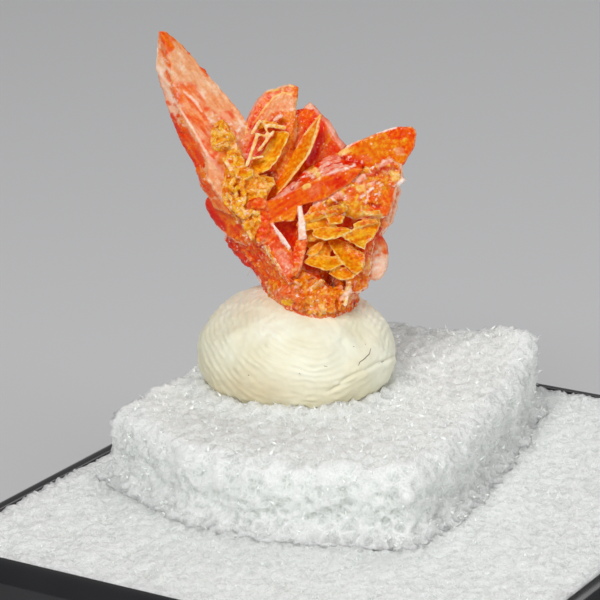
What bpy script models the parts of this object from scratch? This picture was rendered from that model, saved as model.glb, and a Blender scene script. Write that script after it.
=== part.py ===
"""Wulfenite crystal cluster set in a ball of putty, on a foam block in a foam-lined open box base.

Lengths are in millimetres and are scaled to metres where the meshes are made. The origin is the
middle of the box's underside, +Z is up, +Y runs along the box's long side.
"""
import math
import random

import bmesh
import bpy
from mathutils import Matrix, Vector

MM = 0.001
GAP = 0.3                 # clearance between touching pieces

# Box base, an open tray
BOX_WIDTH = 50.8
BOX_LENGTH = 61.0
BOX_HEIGHT = 10.0
WALL = 2.1
FLOOR = 1.6
CORNER_ROUND = 1.6
RIM_ROUND = 0.25

# Foam
LINER_TOP = 9.9
LINER_ROUND = 0.7
BLOCK_BOTTOM = LINER_TOP + GAP
BLOCK_TOP = 15.7
BLOCK_OUTLINE = (
    (-20.0, -9.5), (-14.7, -12.0), (-8.9, -14.6), (-3.8, -14.7), (2.0, -12.8), (8.2, -10.4),
    (8.5, -4.0), (6.4, 8.0), (4.9, 15.2), (1.4, 22.2), (-3.0, 24.2), (-10.5, 23.0),
    (-19.5, 21.5), (-20.3, 6.0))
BLOCK_ROUGHNESS = 0.45

# Putty ball: a flattened ellipsoid standing on the block, turned so that -Y faces the fan's front
PUTTY_AXIS = (-10.5, 4.2)
PUTTY_BOTTOM = BLOCK_TOP + GAP
PUTTY_RADIUS = 8.3
PUTTY_HALF_HEIGHT = 5.6
PUTTY_CENTRE_HEIGHT = 2.4
PUTTY_RINGS = 15
PUTTY_SIDES = 36
FAN_TURN = math.radians(30.57)

# Drawing of the fan of crystals: a plane through the putty's axis that leans back, and the eye
# that looks along the drawing's normal; a point nearer the eye is slid along its line of sight
DRAWING_TILT = math.radians(17.33)
DRAWING_FOOT = (-1.76, -6.45)     # the putty's axis at its underside, in the drawing
EYE_FOOT = (-1.5, 0.2)
EYE_DISTANCE = 253.0

# Foot of the cluster, where it stands in the putty: its plan (across, back), then the height,
# scale and shift of each ring
FOOT_PLAN = (
    (-2.65, 0.3), (-2.15, -1.7), (-1.4, -3.1), (-0.8, -4.0), (0.0, -4.6), (0.9, -5.0),
    (2.0, -4.9), (3.2, -4.4), (4.1, -3.5), (4.7, -2.5), (5.0, -1.2), (5.25, 0.2), (5.1, 1.7),
    (4.1, 2.8), (2.5, 3.4), (0.7, 3.4), (-0.9, 2.9), (-2.2, 1.9))
FOOT_MIDDLE = (1.3, -0.8)
FOOT_RINGS = (
    (4.6, 0.74, 0.0, 0.2), (6.7, 0.98, 0.0, 0.0), (7.7, 1.0, -0.05, 0.0), (8.6, 1.02, -0.25, 0.0),
    (9.4, 0.9, -0.35, 0.45), (10.3, 0.66, -0.5, 1.3))
FOOT_ROUGHNESS = 0.03

BEVEL_SLOPE = 1.4         # a crystal's bevel: its depth over its width
SMALLEST_FACE = 0.3       # least share of its outline that a bevel leaves a crystal's face
PLATE_ROOT = 1.3          # how far the leaf plates reach back into the hollow

MERGE = 0.002


def metres(x, y, z):
    return Vector((x * MM, y * MM, z * MM))


def drawn(x, y, z):
    """Point x across and y up the drawing, z in front of it, in the fan's upright frame (mm)."""
    near = 1.0 - z / EYE_DISTANCE
    across = EYE_FOOT[0] + (x - EYE_FOOT[0]) * near - DRAWING_FOOT[0]
    up = EYE_FOOT[1] + (y - EYE_FOOT[1]) * near - DRAWING_FOOT[1]
    back = up * math.sin(DRAWING_TILT) - z * math.cos(DRAWING_TILT)
    height = up * math.cos(DRAWING_TILT) + z * math.sin(DRAWING_TILT)
    return across, back, height


def plain_material(name, color, roughness, metallic=0.0):
    mat = bpy.data.materials.new(name)
    mat.use_nodes = True
    shader = mat.node_tree.nodes["Principled BSDF"]
    shader.inputs["Base Color"].default_value = (*color, 1.0)
    shader.inputs["Roughness"].default_value = roughness
    shader.inputs["Metallic"].default_value = metallic
    return mat


def add_object(name, bm, mat, parent=None, smooth_angle=None):
    """Turn a bmesh in millimetres into a named object in metres."""
    bmesh.ops.scale(bm, vec=(MM, MM, MM), verts=bm.verts)
    bmesh.ops.recalc_face_normals(bm, faces=bm.faces)
    mesh = bpy.data.meshes.new(name)
    bm.to_mesh(mesh)
    bm.free()
    if smooth_angle is not None:
        mesh.shade_smooth()
        mesh.set_sharp_from_angle(angle=smooth_angle)
    obj = bpy.data.objects.new(name, mesh)
    bpy.context.collection.objects.link(obj)
    if mat:
        mesh.materials.append(mat)
    obj.parent = parent
    return obj


def bridge_rings(bm, rings, cap_ends=True):
    """Skin closed rings of equal length in order, and cap the first and the last."""
    for low, high in zip(rings, rings[1:]):
        for i in range(len(low)):
            j = (i + 1) % len(low)
            bm.faces.new((low[i], low[j], high[j], high[i]))
    if cap_ends:
        bm.faces.new(list(reversed(rings[0])))
        bm.faces.new(rings[-1])


def rounded_rectangle(width, length, radius, steps=4):
    """Corner-rounded rectangle about the origin, anticlockwise."""
    points = []
    centres = ((1, 1, 0), (-1, 1, 90), (-1, -1, 180), (1, -1, 270))
    for sx, sy, start in centres:
        for k in range(steps + 1):
            angle = math.radians(start + 90 * k / steps)
            points.append((sx * (width / 2 - radius) + radius * math.cos(angle),
                           sy * (length / 2 - radius) + radius * math.sin(angle)))
    return points


def ring_of(bm, points, z):
    return [bm.verts.new((x, y, z)) for x, y in points]


# Box base

def box_base(mat):
    """Tray with rounded corners: outside up to the rim, over it, and down to the floor."""
    bm = bmesh.new()
    profile = (
        (0.0, 0.5, 0.0), (0.0, 0.0, 0.5), (0.0, 0.0, BOX_HEIGHT - RIM_ROUND),
        (RIM_ROUND, 0.0, BOX_HEIGHT), (WALL - RIM_ROUND, 0.0, BOX_HEIGHT),
        (WALL, 0.0, BOX_HEIGHT - RIM_ROUND), (WALL, 0.0, FLOOR))
    rings = []
    for inward, chamfer, z in profile:
        inset = inward + chamfer
        points = rounded_rectangle(BOX_WIDTH - 2 * inset, BOX_LENGTH - 2 * inset,
                                   max(CORNER_ROUND - inward * 0.5, 0.4))
        rings.append(ring_of(bm, points, z))
    bridge_rings(bm, rings)
    return add_object("box_base", bm, mat, smooth_angle=math.radians(30))


# Foam liner and block

def foam_liner(mat):
    bm = bmesh.new()
    width = BOX_WIDTH - 2 * (WALL + GAP)
    length = BOX_LENGTH - 2 * (WALL + GAP)
    rings = []
    for inset, z in ((0.0, FLOOR + GAP), (0.0, LINER_TOP - LINER_ROUND), (0.2, LINER_TOP - 0.2),
                     (LINER_ROUND, LINER_TOP)):
        points = rounded_rectangle(width - 2 * inset, length - 2 * inset, CORNER_ROUND, 3)
        rings.append(ring_of(bm, points, z))
    bridge_rings(bm, rings)
    return add_object("foam_liner", bm, mat)


def foam_block(mat):
    """Cut block with torn sides: stacked outlines that bulge and draw in at random."""
    rng = random.Random(7)
    corners = [Vector(p) for p in BLOCK_OUTLINE]
    outline = []
    for a, b in zip(corners, corners[1:] + corners[:1]):
        steps = max(2, round((b - a).length / 2.4))
        outline += [a.lerp(b, k / steps) for k in range(steps)]
    middle = sum(outline, Vector((0.0, 0.0))) / len(outline)
    bm = bmesh.new()
    levels = ((0.0, 0.6), (0.18, 0.1), (0.4, 0.0), (0.62, 0.05), (0.82, 0.2), (0.94, 0.7), (1.0, 1.6))
    rings = []
    for part, inset in levels:
        z = BLOCK_BOTTOM + part * (BLOCK_TOP - BLOCK_BOTTOM)
        ring = []
        for p in outline:
            outward = (p - middle).normalized()
            rough = rng.uniform(-BLOCK_ROUGHNESS, BLOCK_ROUGHNESS) if 0.0 < part < 1.0 else 0.0
            q = p - outward * (inset - rough)
            ring.append(bm.verts.new((q.x, q.y, z)))
        rings.append(ring)
    bridge_rings(bm, rings)
    return add_object("foam_block", bm, mat)


# Putty ball

def foot_rings(bm, grow):
    """Rings of the cluster's foot in the fan's upright frame, all wider by grow."""
    rng = random.Random(11)
    middle = Vector(FOOT_MIDDLE)
    rings = []
    for height, scale, across, back in FOOT_RINGS:
        ring = []
        for point in FOOT_PLAN:
            arm = Vector(point) - middle
            reach = arm.length * scale * (1.0 + rng.uniform(-FOOT_ROUGHNESS, FOOT_ROUGHNESS)) + grow
            place = middle + arm.normalized() * reach
            ring.append(bm.verts.new((place.x + across, place.y + back, height)))
        rings.append(ring)
    for vert in rings[0]:
        vert.co.z -= grow
    return rings


def putty_ball(mat, fan):
    """Flattened ball with a pocket that clears the cluster's foot."""
    bm = bmesh.new()
    bottom = math.acos(-PUTTY_CENTRE_HEIGHT / PUTTY_HALF_HEIGHT)
    rings = []
    for k in range(PUTTY_RINGS):
        angle = bottom * (1 - k / PUTTY_RINGS)
        radius = PUTTY_RADIUS * math.sin(angle)
        circle = [(radius * math.cos(math.tau * i / PUTTY_SIDES),
                   radius * math.sin(math.tau * i / PUTTY_SIDES)) for i in range(PUTTY_SIDES)]
        rings.append(ring_of(bm, circle, PUTTY_CENTRE_HEIGHT + PUTTY_HALF_HEIGHT * math.cos(angle)))
    bridge_rings(bm, rings)
    ball = add_object("putty_ball", bm, mat, fan, math.radians(40))
    pocket_bm = bmesh.new()
    bridge_rings(pocket_bm, foot_rings(pocket_bm, GAP))
    pocket = add_object("foot_pocket", pocket_bm, None, fan)
    pocket.hide_render = True
    pocket.display_type = "WIRE"
    cut = ball.modifiers.new("pocket", "BOOLEAN")
    cut.operation = "DIFFERENCE"
    cut.solver = "EXACT"
    cut.object = pocket
    return ball


# Crystals: each one is a closed solid drawn by its outline as seen from the front

def crystal(outline, at, lean, thick, bevel=0.14, back=0.9):
    """Bevelled tablet: outline (mm), a point on its face, and the face's lean per mm across and up.

    The rear face lies thick behind the front one and is the outline scaled by back.
    """
    bm = bmesh.new()
    middle = sum((Vector(p) for p in outline), Vector((0.0, 0.0))) / len(outline)

    def ring(scale_at, drop):
        verts = []
        for point in outline:
            arm = Vector(point) - middle
            x, y = middle + arm * scale_at(arm.length)
            z = at[2] + lean[0] * (x - at[0]) + lean[1] * (y - at[1]) - drop
            verts.append(bm.verts.new(drawn(x, y, z)))
        return verts

    rear = ring(lambda reach: back, thick)
    edge = ring(lambda reach: 1.0, min(bevel * BEVEL_SLOPE, thick / 2))
    face = ring(lambda reach: max(SMALLEST_FACE, 1.0 - bevel / reach), 0.0)
    bridge_rings(bm, [rear, edge, face])
    bmesh.ops.triangulate(bm, faces=bm.faces)
    bmesh.ops.recalc_face_normals(bm, faces=bm.faces)
    return bm


def hull(points):
    """Chunky crystal or core: the convex hull of points of the drawing."""
    bm = bmesh.new()
    for p in points:
        bm.verts.new(drawn(*p))
    result = bmesh.ops.convex_hull(bm, input=bm.verts)
    spare = list({v for v in result["geom_interior"] if isinstance(v, bmesh.types.BMVert)})
    bmesh.ops.delete(bm, geom=spare, context="VERTS")
    return bm


def ridged_blade(stations, ridge_depth, depth_per_mm):
    """Blade with a raised ridge: left edge, ridge, right edge and fullness at each station."""
    bm = bmesh.new()
    rings = []
    for left, ridge, right, full in stations:
        z = ridge_depth + depth_per_mm * ridge[1]
        section = (
            drawn(*left, z - 1.4 * full), drawn(*ridge, z), drawn(*right, z - 1.9 * full),
            drawn(right[0] - 0.15, right[1] - 0.15, z - 2.4 * full),
            drawn(left[0] + 0.25, left[1], z - 2.2 * full))
        rings.append([bm.verts.new(p) for p in section])
    bridge_rings(bm, rings)
    bmesh.ops.triangulate(bm, faces=bm.faces)
    bmesh.ops.recalc_face_normals(bm, faces=bm.faces)
    return bm


def cores():
    """Massive middle that the blades grow from."""
    left = hull((
        (-4.3, 2.4, 3.8), (-2.0, 1.5, 5.2), (-1.7, 4.0, 4.4), (-2.2, 8.6, 4.8), (-4.0, 11.5, 3.2),
        (-7.0, 12.0, 2.4), (-8.6, 9.4, 3.0), (-8.4, 7.0, 2.6), (-6.8, 4.6, 2.2),
        (-3.0, 2.6, -1.4), (-2.0, 7.0, -1.2), (-4.0, 11.0, -0.5), (-7.0, 10.0, 0.2),
        (-6.4, 6.4, 0.2), (-0.6, 3.0, -1.0)))
    right = hull((
        (-1.2, 3.0, 3.4), (1.6, 3.4, 4.2), (3.0, 8.0, 4.4), (6.0, 9.5, 3.9), (6.0, 11.4, 3.8),
        (2.5, 12.0, 2.6), (-1.0, 11.0, 2.4), (5.2, 6.6, 3.4), (4.2, 2.4, 3.0),
        (-0.8, 2.6, -1.4), (3.2, 2.6, -1.0), (5.2, 6.0, 0.2), (5.8, 10.5, 1.0),
        (1.0, 11.0, -0.6), (-1.5, 8.0, -1.2)))
    middle = hull((
        (-4.2, 3.0, 4.6), (-0.6, 2.0, 4.4), (-4.0, 8.6, 5.0), (0.6, 9.6, 4.8), (2.6, 6.4, 4.4),
        (2.2, 2.8, 4.2), (-3.6, 3.0, 0.0), (1.4, 2.4, 0.0), (-3.4, 9.0, 0.4), (1.0, 9.4, 0.4)))
    return [left, right, middle]


def tall_blade():
    """The long blade that points up to the left, and the etched flank below it."""
    stations = (
        ((-13.42, 22.6), (-13.2, 22.68), (-12.8, 22.7), 0.25),
        ((-13.5, 21.4), (-12.7, 21.4), (-11.3, 21.5), 0.6),
        ((-13.6, 19.5), (-12.2, 19.3), (-9.7, 19.6), 0.85),
        ((-12.95, 17.4), (-11.9, 17.3), (-7.8, 17.5), 1.0),
        ((-12.2, 15.0), (-11.2, 15.4), (-6.5, 15.9), 1.0),
        ((-11.4, 13.2), (-10.0, 13.4), (-5.6, 14.5), 1.0),
        ((-10.3, 11.4), (-9.2, 12.0), (-5.0, 12.6), 1.0),
        ((-9.9, 9.7), (-9.1, 10.0), (-4.6, 10.5), 1.0),
        ((-9.2, 8.8), (-8.0, 8.6), (-4.6, 8.2), 1.0),
        ((-8.7, 7.8), (-7.4, 7.3), (-4.5, 6.4), 1.0))
    blade = ridged_blade(stations, 5.9, -0.02)
    upper_flank = crystal(
        ((-9.1, 8.9), (-9.5, 8.4), (-9.45, 7.9), (-9.1, 7.2), (-8.5, 6.4), (-8.0, 5.9),
         (-7.6, 5.4), (-6.0, 4.6), (-5.2, 5.2), (-6.3, 7.2), (-7.8, 9.2)),
        (-8.0, 5.9, 3.2), (1.0, 0.6), 3.2)
    lower_flank = crystal(
        ((-7.8, 5.6), (-7.7, 5.1), (-7.4, 4.5), (-6.8, 3.8), (-6.3, 3.2), (-5.8, 2.9),
         (-5.35, 2.6), (-5.1, 2.1), (-4.8, 1.6), (-4.4, 1.2), (-3.3, 0.6), (-1.9, 1.6),
         (-3.2, 2.9), (-4.1, 4.7), (-5.0, 6.0), (-6.6, 6.4)),
        (-4.7, 1.5, 2.8), (1.55, 1.0), 2.7, back=0.72)
    step = crystal(
        ((-9.75, 19.75), (-9.3, 19.6), (-8.9, 18.9), (-9.6, 18.6)), (-9.3, 19.2, 4.0), (0.0, 0.0), 0.9)
    druse = crystal(
        ((-8.9, 13.2), (-8.7, 15.0), (-8.1, 15.3), (-7.4, 14.6), (-7.0, 13.6), (-7.5, 12.8),
         (-8.4, 12.6)), (-8.0, 13.8, 5.5), (-0.3, 0.0), 1.0)
    return [blade, upper_flank, lower_flank, step, druse]


def centre_blades():
    """Middle blade, the two behind it, the long leaf and the small plates on them."""
    middle = crystal(
        ((-2.3, 18.3), (-1.8, 18.1), (-1.55, 17.9), (-1.7, 16.9), (-1.75, 16.0), (-1.7, 14.0),
         (-2.6, 11.0), (-4.2, 9.2), (-6.0, 9.5), (-7.0, 11.2), (-6.95, 12.6), (-6.9, 13.2),
         (-6.5, 13.9), (-5.9, 15.4), (-5.4, 16.4), (-5.0, 17.1), (-4.4, 17.6), (-3.4, 17.95)),
        (-4.0, 14.5, 4.2), (0.1, -0.12), 1.5)
    rear = crystal(
        ((-1.8, 16.0), (-1.3, 16.15), (-0.65, 16.75), (0.0, 16.1), (0.4, 15.6), (1.0, 15.1),
         (1.5, 14.3), (2.0, 13.5), (2.5, 13.0), (2.0, 11.5), (-1.0, 11.0), (-2.2, 13.0)),
        (0.0, 14.0, 3.4), (-0.2, -0.15), 1.8, bevel=0.3)
    leaf = crystal(
        ((0.25, 15.45), (-0.4, 14.95), (-1.2, 13.9), (-2.0, 12.6), (-2.9, 11.0), (-3.7, 9.6),
         (-4.2, 8.8), (-3.4, 8.9), (-2.7, 9.6), (-1.9, 10.6), (-1.2, 11.6), (-0.7, 12.3),
         (-0.2, 13.4), (0.15, 14.4)),
        (-1.5, 12.4, 5.2), (0.9, -0.5), 0.6, bevel=0.08)
    small = [
        crystal(((-5.6, 14.0), (-5.0, 15.2), (-4.6, 15.1), (-4.0, 14.0), (-4.1, 13.7), (-5.2, 13.75)),
                (-4.8, 14.4, 5.2), (0.2, 0.1), 1.0),
        crystal(((-4.2, 14.95), (-2.75, 14.75), (-2.8, 14.4), (-4.0, 14.4)),
                (-3.5, 14.6, 5.3), (0.1, 0.0), 1.2, bevel=0.06),
        crystal(((-5.0, 13.95), (-4.7, 13.75), (-5.3, 12.0), (-5.75, 11.15), (-6.1, 11.35),
                 (-5.6, 12.6)), (-5.4, 12.6, 5.7), (0.0, -0.1), 1.6, bevel=0.06),
        crystal(((-3.6, 14.45), (-3.3, 14.3), (-3.8, 13.3), (-4.9, 12.6), (-5.0, 12.85),
                 (-4.1, 13.6)), (-4.1, 13.5, 5.9), (0.0, -0.1), 1.6, bevel=0.06),
        crystal(((-3.4, 14.3), (-2.5, 14.2), (-2.35, 14.0), (-2.75, 13.4), (-3.1, 12.5),
                 (-3.5, 11.8), (-4.1, 11.1), (-4.9, 10.7), (-5.3, 10.9), (-5.8, 11.3),
                 (-4.9, 12.2), (-4.2, 12.9), (-3.8, 13.7)),
                (-4.0, 12.4, 5.3), (0.45, -0.35), 0.5, bevel=0.08),
        crystal(((-6.9, 11.1), (-6.5, 11.45), (-5.9, 11.4), (-5.4, 11.0), (-4.6, 10.6),
                 (-3.8, 10.4), (-3.6, 9.6), (-4.4, 9.0), (-5.6, 9.0), (-6.7, 9.6)),
                (-5.4, 10.2, 5.3), (0.0, -0.4), 1.2)]
    return [middle, rear, leaf] + small


def yellow_druse():
    """Column of small yellow crystals in the valley between the tall and the middle blade."""
    column = crystal(
        ((-8.1, 9.6), (-7.2, 11.0), (-6.4, 10.2), (-5.7, 9.2), (-5.0, 8.6), (-4.9, 7.3),
         (-5.1, 6.2), (-5.4, 5.2), (-6.2, 6.4), (-7.2, 7.6), (-8.1, 8.7)),
        (-6.4, 8.0, 5.7), (0.3, -0.2), 2.0)
    rng = random.Random(23)
    solids = [column]
    places = ((-7.5, 9.6), (-6.9, 10.3), (-7.1, 8.7), (-6.4, 9.3), (-6.6, 8.1), (-5.9, 8.6),
              (-5.9, 7.4), (-6.3, 7.2), (-5.4, 7.8), (-5.7, 6.3), (-7.7, 12.0), (-7.1, 12.9),
              (-7.4, 11.2), (-6.8, 11.7))
    for x, y in places:
        size = rng.uniform(0.28, 0.42)
        spin = rng.uniform(0.0, math.pi)
        outline = [(x + size * math.cos(spin + math.tau * k / 5) * rng.uniform(0.8, 1.2),
                    y + size * math.sin(spin + math.tau * k / 5) * rng.uniform(0.8, 1.2))
                   for k in range(5)]
        z = 6.15 - 0.2 * (y - 8.0) + 0.3 * (x + 6.4)
        solids.append(crystal(outline, (x, y, z), (rng.uniform(-0.7, 0.7), rng.uniform(-0.7, 0.7)),
                              1.4, bevel=0.06))
    return solids


def front_bar():
    """Thick crystal that crosses the front, the right-hand plate, and the recess under the bar."""
    face = crystal(
        ((-4.45, 8.3), (-2.4, 9.2), (-0.4, 10.15), (0.8, 10.8), (2.4, 11.2), (3.9, 11.1),
         (2.8, 10.0), (1.7, 9.3), (0.6, 8.55), (-0.3, 8.35), (-1.6, 8.0), (-2.0, 6.75),
         (-3.8, 6.6), (-4.1, 7.6)),
        (0.0, 9.5, 6.9), (-0.12, 0.2), 2.0, bevel=0.1)
    top = hull((
        (-4.3, 8.25, 6.9), (-1.6, 9.55, 6.9), (0.9, 10.75, 6.8), (3.8, 11.05, 6.3),
        (-3.2, 8.95, 4.6), (-0.6, 11.3, 4.0), (0.7, 12.2, 3.7), (2.6, 12.35, 3.8),
        (3.8, 11.8, 4.4), (-2.0, 8.2, 4.4), (2.0, 9.8, 4.4)))
    plate = crystal(
        ((1.6, 12.3), (2.45, 13.1), (3.0, 13.35), (4.2, 13.8), (5.1, 14.2), (6.6, 14.65),
         (7.9, 14.65), (8.2, 14.4), (8.3, 14.0), (8.15, 13.0), (7.9, 12.55), (7.5, 11.9),
         (7.2, 11.4), (6.1, 11.6), (4.2, 11.0)),
        (5.0, 13.0, 5.2), (0.08, -0.35), 1.3, bevel=0.12)
    inner = crystal(
        ((-5.2, 8.6), (-4.3, 8.3), (-3.75, 6.5), (-3.45, 5.9), (-2.25, 4.4), (-1.9, 2.6),
         (-2.4, 1.5), (-3.4, 2.9), (-4.2, 4.6), (-5.3, 5.3), (-5.2, 7.3)),
        (-3.8, 5.0, 6.6), (0.2, 0.05), 2.6, bevel=0.1)
    upright = crystal(
        ((-1.65, 8.1), (-1.25, 8.1), (-1.05, 6.5), (-0.95, 5.2), (-1.1, 4.4), (-1.25, 3.4),
         (-1.4, 2.6), (-2.0, 1.8), (-1.75, 3.6), (-1.6, 5.2)),
        (-1.4, 5.0, 6.8), (0.0, 0.0), 3.0, bevel=0.05)
    pale_edges = [
        crystal(((-4.4, 4.6), (-4.15, 4.6), (-3.1, 2.7), (-2.2, 1.5), (-2.5, 1.4), (-3.5, 2.7)),
                (-3.3, 3.0, 6.9), (0.2, 0.05), 0.9, bevel=0.05),
        crystal(((-5.1, 7.5), (-4.4, 7.7), (-4.3, 8.4), (-5.0, 8.7), (-5.8, 8.5), (-5.9, 7.8)),
                (-5.1, 8.1, 7.0), (0.1, 0.0), 1.6, bevel=0.2)]
    return [face, top, plate, inner, upright] + pale_edges


def right_mass():
    """Crumbly mass on the right: its brow, its flank and the rounded plates behind."""
    brow = crystal(
        ((-1.2, 7.2), (-0.4, 8.3), (0.8, 8.7), (1.7, 9.4), (2.8, 10.2), (4.0, 11.1), (5.1, 11.5),
         (6.1, 12.1), (7.1, 11.5), (7.15, 10.6), (7.4, 10.2), (6.8, 9.6), (6.6, 9.0), (6.2, 7.5),
         (5.9, 7.0), (5.4, 6.9), (4.4, 7.0), (3.4, 6.9), (2.2, 7.05), (0.8, 7.0), (-0.6, 6.9)),
        (3.0, 9.0, 6.1), (-0.1, 0.12), 2.2, bevel=0.2)
    flank = crystal(
        ((3.8, 4.4), (4.5, 5.4), (4.8, 6.2), (5.4, 6.8), (5.9, 6.3), (5.5, 5.7), (5.0, 4.0),
         (4.9, 2.4), (4.4, 1.6), (4.15, 1.1), (3.6, 0.7), (2.6, 0.5), (2.3, 1.7), (3.3, 2.3),
         (3.6, 3.2)),
        (4.0, 3.0, 4.6), (-0.9, 0.1), 2.2, bevel=0.15)
    solids = [brow, flank]
    for cx, cy, rx, ry, z in ((5.0, 4.75, 0.98, 0.95, 3.6), (4.95, 2.8, 1.05, 1.0, 3.5),
                              (4.3, 5.6, 1.1, 0.8, 2.6)):
        outline = [(cx + rx * math.cos(math.tau * k / 10), cy + ry * math.sin(math.tau * k / 10))
                   for k in range(10)]
        solids.append(crystal(outline, (cx, cy, z), (-0.3, 0.1), 1.1, bevel=0.2))
    return solids


def hollow_plates():
    """Leaf plates that fill the hollow under the brow."""
    plates = (
        (((-0.5, 5.6), (0.0, 6.1), (0.8, 6.3), (2.0, 6.05), (3.0, 5.95), (2.2, 5.4), (1.0, 5.25),
          (0.0, 5.3)), (0.8, 5.7, 6.6), (0.0, -0.5), 0.8),
        (((2.0, 5.3), (3.0, 5.9), (4.7, 6.3), (4.9, 5.8), (4.3, 5.1), (3.9, 4.5), (3.0, 4.8)),
         (3.6, 5.4, 6.0), (-0.2, -0.6), 0.7),
        (((0.9, 5.1), (2.0, 5.25), (3.7, 4.6), (3.7, 3.9), (3.5, 3.0), (3.3, 2.3), (2.3, 2.9),
          (1.5, 3.8)), (2.5, 3.9, 5.5), (-0.1, -0.5), 0.6),
        (((-1.2, 3.4), (-0.4, 3.75), (0.8, 3.8), (1.1, 3.0), (0.8, 2.6), (-0.2, 2.8), (-1.2, 3.1)),
         (0.0, 3.2, 5.6), (0.1, -0.8), 0.5),
        (((0.9, 2.6), (1.4, 3.0), (2.6, 2.9), (3.2, 2.2), (2.4, 1.8), (1.5, 1.9)),
         (2.0, 2.4, 5.5), (0.0, -0.7), 0.5),
        (((-1.0, 4.7), (-0.1, 5.0), (0.6, 4.8), (0.4, 4.2), (-0.6, 3.7), (-1.0, 4.0)),
         (-0.3, 4.4, 5.3), (0.2, -0.5), 0.5),
        (((0.6, 7.2), (1.4, 7.3), (2.2, 7.0), (1.9, 6.6), (1.0, 6.5)),
         (1.4, 6.9, 6.5), (0.0, -0.6), 0.6),
        (((2.2, 7.0), (2.1, 8.0), (2.9, 8.3), (3.1, 7.2)), (2.6, 7.6, 6.5), (0.0, -0.4), 0.7),
        (((3.9, 7.5), (4.4, 7.9), (5.3, 7.6), (5.3, 7.2), (4.1, 7.2)),
         (4.6, 7.5, 6.3), (0.0, -0.6), 0.6),
        (((-0.9, 6.6), (0.2, 6.9), (0.9, 6.7), (0.3, 6.2), (-0.8, 6.1)),
         (-0.1, 6.5, 6.1), (0.0, -0.6), 0.5),
        (((-0.6, 1.1), (-0.3, 1.0), (0.45, 1.7), (0.2, 1.95)), (-0.1, 1.4, 7.0), (0.3, 0.2), 0.6),
        (((2.3, 0.6), (2.7, 1.6), (3.2, 2.0), (3.4, 1.0), (2.9, 0.4)), (2.8, 1.1, 6.0), (-0.6, -0.2), 0.7))
    solids = [crystal(outline, at, lean, thick + PLATE_ROOT, bevel=0.07, back=0.7)
              for outline, at, lean, thick in plates]
    rng = random.Random(31)
    for k in range(16):
        x = -0.6 + 0.44 * k
        y = 7.6 + 0.58 * (x + 0.6) + rng.uniform(-0.25, 0.25)
        size = rng.uniform(0.2, 0.34)
        angles = [math.tau * i / 4 + k for i in range(4)]
        outline = [(x + size * math.cos(a), y + 0.7 * size * math.sin(a)) for a in angles]
        z = 6.5 - 0.1 * (x - 3.0) + 0.12 * (y - 9.0)
        solids.append(crystal(outline, (x, y, z), (rng.uniform(-0.5, 0.5), -0.4), 0.9, bevel=0.05))
    return solids


def rear_blades():
    """Pointed and cut-off blades on the back, fanned out from the foot."""
    pointed = ((0.0, -0.3), (0.0, 0.3), (0.45, 0.5), (0.66, 0.44), (1.0, 0.06), (0.96, -0.06),
               (0.58, -0.5), (0.42, -0.46))
    cut_off = ((0.0, -0.3), (0.0, 0.3), (0.5, 0.5), (0.86, 0.36), (1.0, 0.1), (0.92, -0.3),
               (0.62, -0.5), (0.3, -0.42))
    blades = (
        # shape, root, tip, width, face depth at the tip, lean across and up
        (pointed, (-2.4, 3.2), (-8.6, 12.4), 4.4, 1.6, 0.30, 0.10),
        (cut_off, (-1.0, 3.4), (-3.6, 15.2), 4.8, 1.4, -0.20, 0.22),
        (pointed, (0.4, 3.2), (2.2, 12.6), 4.2, 0.6, 0.25, 0.20),
        (cut_off, (1.6, 3.2), (6.4, 10.6), 4.2, 1.4, -0.35, 0.05),
        (pointed, (-1.8, 3.4), (-5.6, 9.4), 3.4, -0.4, 0.55, 0.25),
        (cut_off, (-0.2, 3.6), (-1.2, 11.0), 3.6, -0.7, -0.30, 0.30),
        (pointed, (1.8, 3.4), (4.6, 8.2), 3.0, -0.1, -0.50, 0.15))
    solids = []
    for shape, root, tip, width, depth, across, up in blades:
        along = Vector(tip) - Vector(root)
        side = Vector((-along.y, along.x)).normalized() * width
        places = [Vector(root) + along * u + side * v for u, v in shape]
        solids.append(crystal([(p.x, p.y) for p in places], (*tip, depth), (across, up), 1.8,
                              bevel=0.22, back=0.82))
    return solids


def foot():
    bm = bmesh.new()
    bridge_rings(bm, foot_rings(bm, 0.0))
    bmesh.ops.recalc_face_normals(bm, faces=bm.faces)
    return bm


def fill_closed_hollows(bm):
    """Delete every shell but the outer one: the others line hollows with no way in."""
    left = set(bm.verts)
    shells = []
    while left:
        shell = set()
        todo = [left.pop()]
        while todo:
            vert = todo.pop()
            shell.add(vert)
            for edge in vert.link_edges:
                other = edge.other_vert(vert)
                if other in left:
                    left.remove(other)
                    todo.append(other)
        shells.append(shell)
    shells.sort(key=len)
    for shell in shells[:-1]:
        bmesh.ops.delete(bm, geom=list(shell), context="VERTS")


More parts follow.
